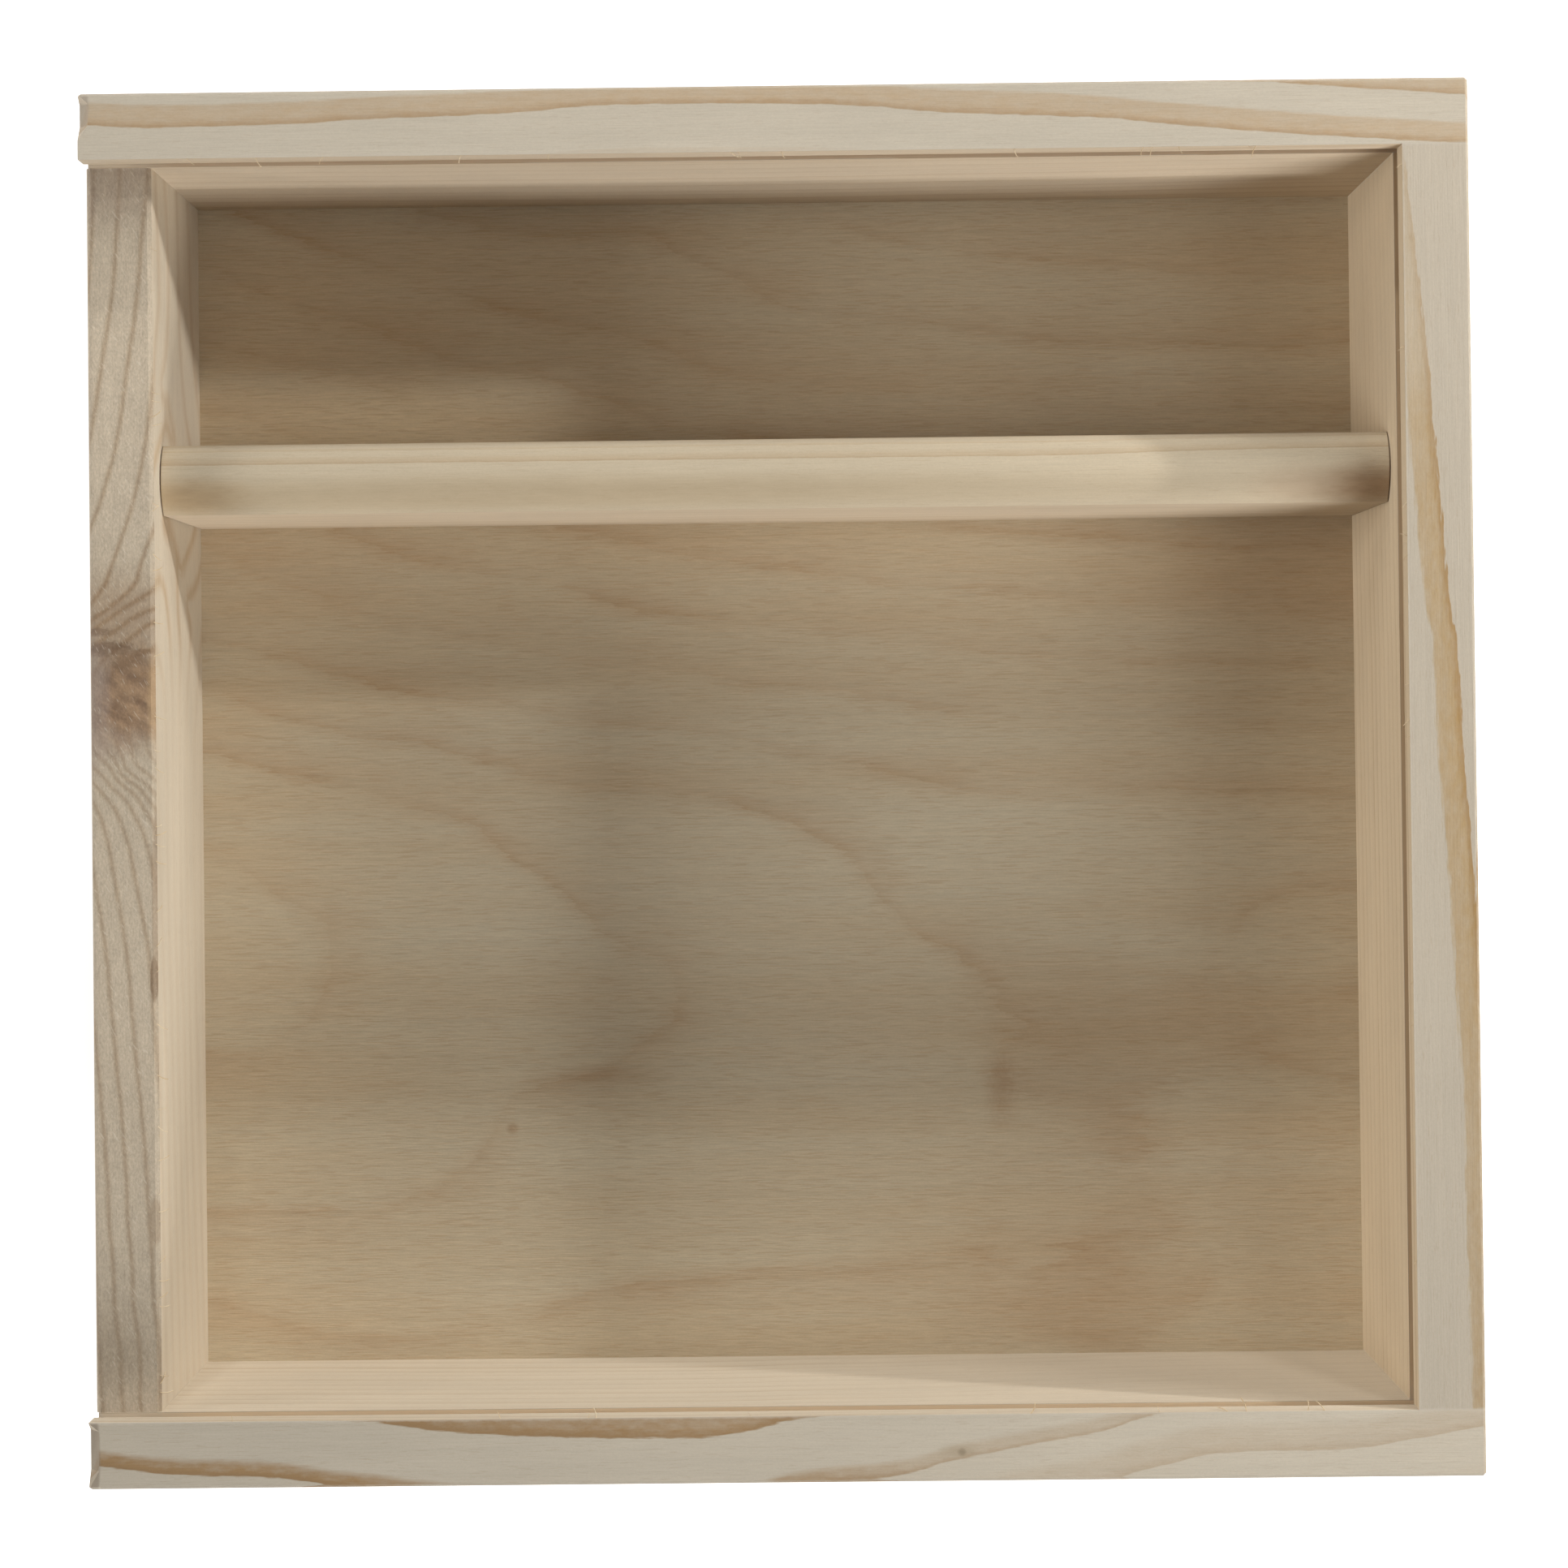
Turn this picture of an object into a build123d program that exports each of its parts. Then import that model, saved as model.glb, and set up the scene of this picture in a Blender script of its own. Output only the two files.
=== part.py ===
from build123d import *
import os

# A pine box with a sliding plywood lid and one divider. Lengths are in millimetres.
#
# The origin is the centre of the floor panel's underside, on which the box rests.
# +X runs from the entry wall, over which the lid slides in, to the end wall. +Y runs
# from the front rail to the back rail, and +Z is up. The lid stands clear of the box
# on the entry side, level with its grooves.

# Cavity and boards
cavity_length = 190.0  # along X, between the entry wall and the end wall
cavity_width = 190.0  # along Y, between the two rails
board_thickness = 10.0
wall_height = 46.0
rail_setback = 0.5  # each rail stops this far short of the entry wall's outer face

# Lid and the groove that it slides in
lid_thickness = 2.7
lip_height = 3.7  # wood left above the groove
groove_depth = 4.0
lid_play = 0.3  # up and down in the groove
lid_side_clearance = 0.5  # at each long edge of the lid
lid_end_clearance = 0.3  # ahead of the lid when it is closed
entry_drop = 0.2  # the entry wall's top lies this far below the groove
lid_parking_gap = 25.0  # between the removed lid and the entry wall

# Thumb notch in the lid
notch_radius = 11.0
notch_depth = 1.6
notch_edge_distance = 14.0  # from the lid's outer end to the notch's straight edge

# Floor panel and the rebate that it is set in
floor_thickness = 2.7
rebate_depth = 5.0
floor_clearance = 0.15  # at each edge of the panel

# Divider
front_compartment_width = 137.2
divider_thickness = 10.8
divider_height = 31.9  # from the floor to the top of its crown
crown_rise = 2.3
divider_end_clearance = 0.15

# Sanded edges
board_arris = 0.45
entry_outer_radius = 1.0
entry_inner_arris = 0.6
worn_bevel = 1.6  # on the rails' top corner at the entry end
back_bevel_inset = 2.9  # the back rail's bevel starts this far from its inner face
back_inner_hip = 2.3  # the length over which a bevel runs out
back_outer_hip = 1.6
front_outer_hip = 2.8
front_inner_hip = 1.3

# Brads
shank_diameter = 1.2
head_diameter = 2.0
head_height = 0.8
wall_brad_length = 25.0
floor_brad_length = 12.0
brad_edge_distance = 8.0  # from a board's edge to the nearest wall brad
floor_brad_pitch = 65.0
floor_brads_per_side = 3

# Places that follow from the sizes
half_length = cavity_length / 2
half_width = cavity_width / 2
outer_x = half_length + board_thickness
outer_y = half_width + board_thickness
groove_height = lid_thickness + lid_play
groove_top = wall_height - lip_height
groove_floor = groove_top - groove_height
entry_wall_height = groove_floor - entry_drop
rail_length = 2 * outer_x - rail_setback
divider_y = -half_width + front_compartment_width + divider_thickness / 2
divider_top = floor_thickness + divider_height
lid_length = outer_x + half_length + groove_depth - lid_end_clearance
lid_width = cavity_width + 2 * (groove_depth - lid_side_clearance)
lid_underside = groove_floor + lid_play / 2
lid_outer_end = -outer_x - lid_parking_gap - lid_length
lid_travel = lid_length + lid_parking_gap


def drive_brads(face_plane, places, length, mode):
    """Add or cut brads whose heads lie flush in face_plane, pointing against its normal."""
    for diameter, depth in ((head_diameter, head_height), (shank_diameter, length)):
        with BuildSketch(face_plane) as outline:
            with Locations(*places):
                Circle(diameter / 2)
        extrude(outline.sketch, amount=-depth, mode=mode)


def wear_rail_end(low_y, low_hip, high_y, high_hip):
    """Bevel a rail's top arris at the entry end, running out over a hip at both ends."""
    end_x = outer_x - rail_length
    with BuildPart(mode=Mode.PRIVATE) as waste:
        with BuildSketch(Plane.XZ.offset(-high_y)) as corner:
            with BuildLine():
                Polyline(
                    (end_x, wall_height),
                    (end_x + worn_bevel, wall_height),
                    (end_x, wall_height - worn_bevel),
                    close=True,
                )
            make_face()
        extrude(corner.sketch, amount=high_y - low_y)
        for y, hip, towards in ((low_y, low_hip, 1), (high_y, high_hip, -1)):
            hip_plane = Plane((end_x, y, wall_height), z_dir=(-hip, towards * worn_bevel, hip))
            split(bisect_by=hip_plane, keep=Keep.TOP)
    add(waste.part, mode=Mode.SUBTRACT)


# Where each set of brads is driven
brad_heights = (floor_thickness + brad_edge_distance, entry_wall_height - brad_edge_distance)
divider_brad_heights = (
    floor_thickness + brad_edge_distance,
    divider_top - crown_rise - brad_edge_distance,
)
wall_middle_x = half_length + board_thickness / 2
back_face = Plane((0, outer_y, 0), x_dir=(1, 0, 0), z_dir=(0, 1, 0))
front_face = Plane((0, -outer_y, 0), x_dir=(1, 0, 0), z_dir=(0, -1, 0))
entry_face = Plane((-outer_x, 0, 0), x_dir=(0, 1, 0), z_dir=(-1, 0, 0))
end_face = Plane((outer_x, 0, 0), x_dir=(0, 1, 0), z_dir=(1, 0, 0))
underside = Plane((0, 0, 0), x_dir=(1, 0, 0), z_dir=(0, 0, -1))


def on_plane(face_plane, points):
    """The local positions of world points on a plane."""
    return [tuple(face_plane.to_local_coords(Vector(point)))[:2] for point in points]


def corner_brad_places(face_plane, x):
    y = face_plane.origin.Y
    return on_plane(face_plane, [(x, y, z) for z in brad_heights])


def divider_brad_places(face_plane):
    x = face_plane.origin.X
    return on_plane(face_plane, [(x, divider_y, z) for z in divider_brad_heights])


def floor_brad_places():
    middle = (floor_brads_per_side - 1) / 2
    steps = [(index - middle) * floor_brad_pitch for index in range(floor_brads_per_side)]
    inset = rebate_depth / 2
    beside = []
    for step in steps:
        for sign in (-1, 1):
            beside.append((step, sign * (half_width + inset), 0))
            beside.append((sign * (half_length + inset), step, 0))
    return on_plane(underside, beside)


def build_rail(label, side, face_plane, worn_span):
    """A grooved and rebated rail: side is +1 for the back rail and -1 for the front one."""
    with BuildPart() as rail:
        with BuildSketch(Plane.YZ.offset(outer_x - rail_length)) as section:
            with Locations((side * (half_width + board_thickness / 2), wall_height / 2)):
                Rectangle(board_thickness, wall_height)
            with Locations((side * (half_width + groove_depth / 2), groove_floor + groove_height / 2)):
                Rectangle(groove_depth, groove_height, mode=Mode.SUBTRACT)
            with Locations((side * (half_width + rebate_depth / 2), floor_thickness / 2)):
                Rectangle(rebate_depth, floor_thickness, mode=Mode.SUBTRACT)
        extrude(section.sketch, amount=rail_length)
        outer_side = rail.faces().sort_by(Axis((0, 0, 0), (0, side, 0)))[-1]
        far_end_top = rail.edges().filter_by(Axis.Y).group_by(Axis.Z)[-1].sort_by(Axis.X)[-1]
        chamfer(outer_side.edges() + [far_end_top], length=board_arris)
        wear_rail_end(*worn_span)
        for x in (-wall_middle_x, wall_middle_x):
            drive_brads(face_plane, corner_brad_places(face_plane, x), wall_brad_length, Mode.SUBTRACT)
        drive_brads(underside, floor_brad_places(), floor_brad_length, Mode.SUBTRACT)
    rail.part.label = label
    return rail


# The bevel spans most of the back rail's end and all of the front rail's.
back_worn_span = (half_width + back_bevel_inset, back_inner_hip, outer_y, back_outer_hip)
front_worn_span = (-outer_y, front_outer_hip, -half_width, front_inner_hip)
back_rail = build_rail("back_rail", 1, back_face, back_worn_span)
front_rail = build_rail("front_rail", -1, front_face, front_worn_span)

# End wall: full height, grooved for the lid's leading edge
with BuildPart() as right_wall:
    with BuildSketch(Plane.XZ.offset(-half_width)) as end_wall_section:
        with Locations((half_length + board_thickness / 2, wall_height / 2)):
            Rectangle(board_thickness, wall_height)
        with Locations((half_length + groove_depth / 2, groove_floor + groove_height / 2)):
            Rectangle(groove_depth, groove_height, mode=Mode.SUBTRACT)
        with Locations((half_length + rebate_depth / 2, floor_thickness / 2)):
            Rectangle(rebate_depth, floor_thickness, mode=Mode.SUBTRACT)
    extrude(end_wall_section.sketch, amount=cavity_width)
    right_wall_outer = right_wall.faces().sort_by(Axis.X)[-1]
    chamfer(right_wall_outer.edges().filter_by(Axis.Y), length=board_arris)
    for wall_side in (back_face, front_face):
        drive_brads(
            wall_side, corner_brad_places(wall_side, wall_middle_x), wall_brad_length, Mode.SUBTRACT
        )
    drive_brads(end_face, divider_brad_places(end_face), wall_brad_length, Mode.SUBTRACT)
    drive_brads(underside, floor_brad_places(), floor_brad_length, Mode.SUBTRACT)
right_wall.part.label = "right_wall"

# Entry wall: low, so that the lid slides in over its top
with BuildPart() as left_wall:
    with BuildSketch(Plane.XZ.offset(-half_width)) as entry_wall_section:
        with Locations((-half_length - board_thickness / 2, entry_wall_height / 2)):
            Rectangle(board_thickness, entry_wall_height)
        with Locations((-half_length - rebate_depth / 2, floor_thickness / 2)):
            Rectangle(rebate_depth, floor_thickness, mode=Mode.SUBTRACT)
    extrude(entry_wall_section.sketch, amount=cavity_width)
    entry_top_edges = left_wall.edges().filter_by(Axis.Y).group_by(Axis.Z)[-1].sort_by(Axis.X)
    fillet(entry_top_edges[0], radius=entry_outer_radius)
    chamfer(entry_top_edges[-1], length=entry_inner_arris)
    for wall_side in (back_face, front_face):
        drive_brads(
            wall_side, corner_brad_places(wall_side, -wall_middle_x), wall_brad_length, Mode.SUBTRACT
        )
    drive_brads(entry_face, divider_brad_places(entry_face), wall_brad_length, Mode.SUBTRACT)
    drive_brads(underside, floor_brad_places(), floor_brad_length, Mode.SUBTRACT)
left_wall.part.label = "left_wall"

# Floor panel: plywood, flush with the undersides of the boards
with BuildPart() as floor_panel:
    with BuildSketch(Plane.XY) as floor_outline:
        Rectangle(
            cavity_length + 2 * (rebate_depth - floor_clearance),
            cavity_width + 2 * (rebate_depth - floor_clearance),
        )
    extrude(floor_outline.sketch, amount=floor_thickness)
    drive_brads(underside, floor_brad_places(), floor_brad_length, Mode.SUBTRACT)
floor_panel.part.label = "floor_panel"

# Divider: a strip with a crowned top, butted between the entry wall and the end wall
with BuildPart() as divider:
    divider_half = divider_thickness / 2
    divider_length = cavity_length - 2 * divider_end_clearance
    shoulder = divider_top - crown_rise
    with BuildSketch(Plane.YZ.offset(-divider_length / 2)) as divider_section:
        with BuildLine():
            Polyline(
                (divider_y - divider_half, shoulder),
                (divider_y - divider_half, floor_thickness),
                (divider_y + divider_half, floor_thickness),
                (divider_y + divider_half, shoulder),
            )
            ThreePointArc(
                (divider_y + divider_half, shoulder),
                (divider_y, divider_top),
                (divider_y - divider_half, shoulder),
            )
        make_face()
    extrude(divider_section.sketch, amount=divider_length)
    for wall_side in (entry_face, end_face):
        drive_brads(wall_side, divider_brad_places(wall_side), wall_brad_length, Mode.SUBTRACT)
divider.part.label = "divider"

# Lid: plywood, with a half-moon thumb notch whose steep edge faces away from the box
with BuildPart() as lid:
    with BuildSketch(Plane.XY.offset(lid_underside)) as lid_outline:
        with Locations((lid_outer_end + lid_length / 2, 0)):
            Rectangle(lid_length, lid_width)
    extrude(lid_outline.sketch, amount=lid_thickness)
    scoop_radius = (notch_radius**2 + notch_depth**2) / (2 * notch_depth)
    scoop_height = lid_underside + lid_thickness - notch_depth + scoop_radius
    with Locations((lid_outer_end + notch_edge_distance, 0, scoop_height)):
        Sphere(scoop_radius, arc_size3=180, rotation=(0, 0, -90), mode=Mode.SUBTRACT)
lid.part.label = "lid"


def build_brads(label, driven):
    """One group of equal brads: driven lists each plane with its places and length."""
    with BuildPart() as brads:
        for face_plane, places, length in driven:
            drive_brads(face_plane, places, length, Mode.ADD)
    brads.part.label = label
    return brads


brad_groups = []
for back_or_front, wall_side in (("back", back_face), ("front", front_face)):
    for left_or_right, wall_x in (("left", -wall_middle_x), ("right", wall_middle_x)):
        corner = (wall_side, corner_brad_places(wall_side, wall_x), wall_brad_length)
        brad_groups.append(build_brads(f"{back_or_front}_{left_or_right}_brads", [corner]))
for left_or_right, wall_side in (("left", entry_face), ("right", end_face)):
    driven = (wall_side, divider_brad_places(wall_side), wall_brad_length)
    brad_groups.append(build_brads(f"divider_{left_or_right}_brads", [driven]))
brad_groups.append(build_brads("floor_brads", [(underside, floor_brad_places(), floor_brad_length)]))

os.makedirs("parts", exist_ok=True)
for piece in (back_rail, front_rail, right_wall, left_wall, floor_panel, divider, lid, *brad_groups):
    export_step(piece.part, f"parts/{piece.part.label}.step")

print(f"lid travel from parked to closed: {lid_travel:.2f} mm")
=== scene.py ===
"""Looks of a square pine box with one divider and a sliding plywood lid.

Every length in a finish is in millimetres, in the frame of the CAD part: +X runs from the
entry wall to the end wall, +Y from the front rail to the back rail, and +Z up. Meshes,
lamps and the camera are in metres.
"""

import logging
import math
from dataclasses import dataclass
from enum import Enum
from functools import cached_property

import bmesh
import bpy
import numpy as np
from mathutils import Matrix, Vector


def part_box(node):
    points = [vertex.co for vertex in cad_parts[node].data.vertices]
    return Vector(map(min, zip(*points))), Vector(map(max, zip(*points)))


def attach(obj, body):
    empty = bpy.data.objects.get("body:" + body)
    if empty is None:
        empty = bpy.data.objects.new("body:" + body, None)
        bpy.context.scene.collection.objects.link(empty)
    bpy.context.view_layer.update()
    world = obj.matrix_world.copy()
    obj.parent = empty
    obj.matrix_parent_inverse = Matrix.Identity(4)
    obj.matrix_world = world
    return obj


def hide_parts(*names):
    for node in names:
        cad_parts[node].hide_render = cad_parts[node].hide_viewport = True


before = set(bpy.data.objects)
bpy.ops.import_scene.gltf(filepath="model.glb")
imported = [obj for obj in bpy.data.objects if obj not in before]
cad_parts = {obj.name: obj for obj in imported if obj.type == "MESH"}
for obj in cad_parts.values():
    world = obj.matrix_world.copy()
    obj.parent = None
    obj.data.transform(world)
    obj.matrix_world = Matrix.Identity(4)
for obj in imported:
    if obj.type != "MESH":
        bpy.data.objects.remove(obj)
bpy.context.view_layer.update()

MM = 0.001
log = logging.getLogger("box")

Socket = bpy.types.NodeSocket
Number = float | Socket | bpy.types.Node
Colour = tuple[float, float, float]
Point = tuple[float, float]
Place = tuple[float, float, float]
Curve = tuple[Point, ...]


class Grain(Enum):
    """The way that a piece's fibres run: which object axes are along, across and up."""

    ALONG_X = "XYZ"
    ALONG_Y = "YXZ"


def srgb(red: int, green: int, blue: int) -> Colour:
    """A linear colour from the 8-bit values that a screen shows."""
    channels = (value / 255 for value in (red, green, blue))
    return tuple(v / 12.92 if v <= 0.04045 else ((v + 0.055) / 1.055) ** 2.4 for v in channels)


# ---------------------------------------------------------------- node trees


class Graph:
    """A node tree, with short calls that add nodes and join them."""

    def __init__(self, tree: bpy.types.NodeTree) -> None:
        """Take over a tree."""
        self.tree = tree

    def add(self, kind: str, inputs: dict | tuple = (), **settings: object) -> bpy.types.Node:
        """Add a node.

        Args:
            kind: the node's type name.
            inputs: what feeds its first inputs, or its inputs by name or number.
            settings: properties to set on the node.

        Returns:
            The new node.
        """
        node = self.tree.nodes.new(kind)
        for name, value in settings.items():
            setattr(node, name, value)
        for key, value in inputs.items() if isinstance(inputs, dict) else enumerate(inputs):
            self.feed(node.inputs[key], value)
        return node

    def feed(self, socket: Socket, value: object) -> None:
        """Link a socket to a socket or to a node's first output, or set it to a plain value.

        Args:
            socket: the input to fill.
            value: a socket, a node, a number, a vector or a colour.
        """
        if isinstance(value, bpy.types.Node):
            value = value.outputs[0]
        if isinstance(value, bpy.types.NodeSocket):
            self.tree.links.new(value, socket)
        elif socket.type == "RGBA" and len(value) == 3:
            socket.default_value = (*value, 1.0)
        else:
            socket.default_value = value

    def math(self, operation: str, *values: Number) -> Socket:
        """The result of one Math node."""
        return self.add("ShaderNodeMath", values, operation=operation).outputs[0]

    def vector(self, operation: str, *values: object) -> Socket:
        """The vector of one Vector Math node."""
        return self.add("ShaderNodeVectorMath", values, operation=operation).outputs[0]

    def remap(self, value: Number, low: Number, high: Number, start: Number = 0.0,
              end: Number = 1.0, smooth: bool = False) -> Socket:
        """Carry low to start and high to end, clamped, and eased at both ends if smooth."""
        return self.add("ShaderNodeMapRange", (value, low, high, start, end), clamp=True,
                        interpolation_type="SMOOTHSTEP" if smooth else "LINEAR").outputs[0]

    def noise(self, place: Socket, detail: float = 2.0, roughness: float = 0.5) -> Socket:
        """Noise of unit scale, centred on one half."""
        return self.add("ShaderNodeTexNoise", {"Vector": place, "Scale": 1.0, "Detail": detail,
                                               "Roughness": roughness}).outputs[0]

    def mix(self, factor: Number, first: object, second: object, blend: str = "MIX") -> Socket:
        """Blend two colours, the first and so much of the second."""
        return self.add("ShaderNodeMix", {0: factor, 6: first, 7: second}, data_type="RGBA",
                        blend_type=blend).outputs[2]

    def dim(self, colour: object, level: Number) -> Socket:
        """Multiply a colour by a level."""
        return self.mix(1.0, colour, self.join(level, level, level), blend="MULTIPLY")

    def shade(self, colour: object, value: Number, amount: float) -> Socket:
        """Vary a colour by a share of it, with a pattern that is centred on one half."""
        return self.dim(colour, self.remap(value, 0.0, 1.0, 1.0 - amount / 2, 1.0 + amount / 2))

    def split(self, vector: object) -> tuple[Socket, Socket, Socket]:
        """The X, Y and Z of a vector."""
        return tuple(self.add("ShaderNodeSeparateXYZ", (vector,)).outputs)

    def join(self, *parts: Number) -> Socket:
        """A vector from its X, Y and Z."""
        return self.add("ShaderNodeCombineXYZ", parts).outputs[0]

    def turn(self, vector: Socket, degrees: float) -> Socket:
        """A vector turned about Z."""
        angle = math.radians(degrees)
        return self.add("ShaderNodeVectorRotate", {"Vector": vector, "Angle": angle},
                        rotation_type="Z_AXIS").outputs[0]

    def curve(self, value: Number, points: Curve, smooth: bool = True) -> Socket:
        """A value drawn as a curve over another one.

        Args:
            value: the position along the curve.
            points: positions and heights, in order of position.
            smooth: whether the curve is rounded between its points.

        Returns:
            The height's socket.
        """
        places, heights = zip(*points)
        low, high = min(heights), max(heights)
        span = (high - low) or 1.0
        node = self.add("ShaderNodeFloatCurve",
                        {"Value": self.remap(value, places[0], places[-1])})
        line = node.mapping.curves[0]
        for _ in points[2:]:
            line.points.new(0.5, 0.5)
        for knot, place, height in zip(line.points, places, heights):
            knot.location = ((place - places[0]) / (places[-1] - places[0]), (height - low) / span)
            knot.handle_type = "AUTO_CLAMPED" if smooth else "VECTOR"
        node.mapping.update()
        return self.math("MULTIPLY_ADD", node, span, low)

    def use(self, group: bpy.types.NodeTree, **values: object) -> bpy.types.Node:
        """Place a node group and feed the inputs that are named."""
        return self.add("ShaderNodeGroup", values, node_tree=group)

    def number(self, name: str) -> Socket:
        """A number that the mesh carries."""
        return self.add("ShaderNodeAttribute", attribute_name=name).outputs["Fac"]


def new_group(name: str, inputs: dict[str, object], outputs: tuple[str, ...]) -> tuple:
    """Start a shader node group.

    Args:
        name: the group's name.
        inputs: each input's name and default: a number or a vector.
        outputs: the names of its outputs, which are plain values.

    Returns:
        The graph, its input sockets and the output node.
    """
    tree = bpy.data.node_groups.new(name, "ShaderNodeTree")
    for title, default in inputs.items():
        kind = "NodeSocketFloat" if isinstance(default, float) else "NodeSocketVector"
        socket = tree.interface.new_socket(name=title, in_out="INPUT", socket_type=kind)
        socket.default_value = default
    for title in outputs:
        tree.interface.new_socket(name=title, in_out="OUTPUT", socket_type="NodeSocketFloat")
    graph = Graph(tree)
    return graph, graph.add("NodeGroupInput").outputs, graph.add("NodeGroupOutput")


ORIGIN = (0.0, 0.0, 0.0)


def drawn_out(graph: Graph, grain: Socket, length: Number, width: Number,
              shift: tuple[Number, ...]) -> Socket:
    """A place for noise that is long along the grain.

    Args:
        graph: the group's graph.
        grain: the point, as along, across and up.
        length: the noise's size along the grain, in millimetres.
        width: its size across the grain.
        shift: how far the place is moved on, so that each seed gives noise of its own.

    Returns:
        The place.
    """
    place = graph.vector("DIVIDE", grain, graph.join(length, width, width))
    return graph.vector("ADD", place, graph.join(*shift))


class Effects:
    """The shader node groups that the finishes share. Each is built when first used."""

    @cached_property
    def streaks(self) -> bpy.types.NodeTree:
        """Long thin fibres: noise that is drawn out along the grain.

        Returns:
            The node group.
        """
        graph, given, end = new_group(
            "fibre_streaks", {"Grain": ORIGIN, "Length": 20.0, "Width": 0.5, "Seed": 0.0},
            ("Streak",))
        place = drawn_out(graph, given["Grain"], given["Length"], given["Width"],
                          (given["Seed"], given["Seed"], 0.0))
        graph.feed(end.inputs[0], graph.remap(graph.noise(place, 3.0, 0.6), 0.25, 0.75))
        return graph.tree

    @cached_property
    def growth(self) -> bpy.types.NodeTree:
        """How far out in the tree a point lies, in millimetres from one chosen ring.

        Spread is the distance from the chosen ring on the board's top face, and Depth the
        distance below that face. The heart of the tree lies Beside the ring and Below it.

        Returns:
            The node group.
        """
        graph, given, end = new_group(
            "growth_radius",
            {"Grain": ORIGIN, "Spread": 0.0, "Depth": 0.0, "Beside": -20.0, "Below": 44.0,
             "Wander": 0.3, "Fray": 0.1, "Seed": 0.0}, ("Radius",))

        def hypotenuse(a: Socket, b: Socket) -> Socket:
            """The length of the long side."""
            return graph.math("SQRT", graph.math("MULTIPLY_ADD", a, a,
                                                 graph.math("MULTIPLY", b, b)))

        radius = graph.math(
            "SUBTRACT",
            hypotenuse(graph.math("ADD", given["Spread"], given["Beside"]),
                       graph.math("SUBTRACT", given["Below"], given["Depth"])),
            hypotenuse(given["Beside"], given["Below"]))
        for length, width, detail, name in ((55.0, 9.0, 1.0, "Wander"), (3.0, 0.4, 2.0, "Fray")):
            place = drawn_out(graph, given["Grain"], length, width,
                              (given["Seed"], 0.0, given["Seed"]))
            push = graph.math("SUBTRACT", graph.noise(place, detail), 0.5)
            radius = graph.math("MULTIPLY_ADD", push, graph.math("MULTIPLY", given[name], 4.0),
                                radius)
        graph.feed(end.inputs[0], radius)
        return graph.tree

    @cached_property
    def years(self) -> bpy.types.NodeTree:
        """The dark late wood of ordinary years, each of its own strength.

        Returns:
            The node group.
        """
        graph, given, end = new_group(
            "late_wood", {"Radius": 0.0, "Spacing": 3.0, "Seed": 0.0}, ("Band", "Line"))
        count = graph.math("DIVIDE", given["Radius"], given["Spacing"])
        uneven = graph.noise(graph.join(graph.math("MULTIPLY", count, 0.6), given["Seed"], 0.0))
        count = graph.math("MULTIPLY_ADD", uneven, 1.4, count)
        whole = graph.math("ADD", graph.math("FLOOR", count), given["Seed"])
        chance = graph.add("ShaderNodeTexWhiteNoise", {"W": whole}, noise_dimensions="1D")
        strength = graph.remap(chance, 0.0, 1.0, 0.45, 1.0)
        shapes = (((0.0, 0.1), (0.05, 0.0), (0.4, 0.0), (0.7, 0.3), (0.9, 0.8), (0.96, 1.0),
                   (1.0, 0.1)),
                  ((0.0, 0.0), (0.85, 0.0), (0.95, 1.0), (1.0, 0.0)))
        for socket, shape in zip(end.inputs, shapes):
            part = graph.curve(graph.math("FRACT", count), shape, smooth=False)
            graph.feed(socket, graph.math("MULTIPLY", part, strength))
        return graph.tree

    @cached_property
    def mark(self) -> bpy.types.NodeTree:
        """A round spot with a ragged or a soft border.

        Returns:
            The node group.
        """
        graph, given, end = new_group(
            "mark", {"Place": ORIGIN, "Centre": ORIGIN, "Size": (8.0, 6.0, 9.0), "Ragged": 0.7,
                     "Soft": 0.3}, ("Mask",))
        offset = graph.vector("SUBTRACT", given["Place"], given["Centre"])
        offset = graph.vector("DIVIDE", offset, given["Size"])
        cloud = graph.noise(graph.vector("MULTIPLY", offset, (2.6,) * 3), 4.0)
        distance = graph.add("ShaderNodeVectorMath", (offset,), operation="LENGTH")
        edge = graph.math("MULTIPLY_ADD", graph.math("SUBTRACT", cloud, 0.5), given["Ragged"],
                          distance.outputs["Value"])
        outside, inside = (graph.math(way, 1.0, given["Soft"]) for way in ("ADD", "SUBTRACT"))
        graph.feed(end.inputs[0], graph.remap(edge, outside, inside, smooth=True))
        return graph.tree

    @cached_property
    def flecks(self) -> bpy.types.NodeTree:
        """Short thin dashes along the grain, far apart: resin canals and vessels.

        Returns:
            The node group.
        """
        graph, given, end = new_group(
            "flecks", {"Grain": ORIGIN, "Length": 3.0, "Width": 0.14, "Rare": 0.62, "Seed": 0.0},
            ("Fleck",))
        place = drawn_out(graph, given["Grain"], given["Length"], given["Width"],
                          (given["Seed"], 0.0, given["Seed"]))
        full = graph.math("ADD", given["Rare"], 0.08)
        graph.feed(end.inputs[0], graph.remap(graph.noise(place, 0.0), given["Rare"], full))
        return graph.tree

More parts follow.
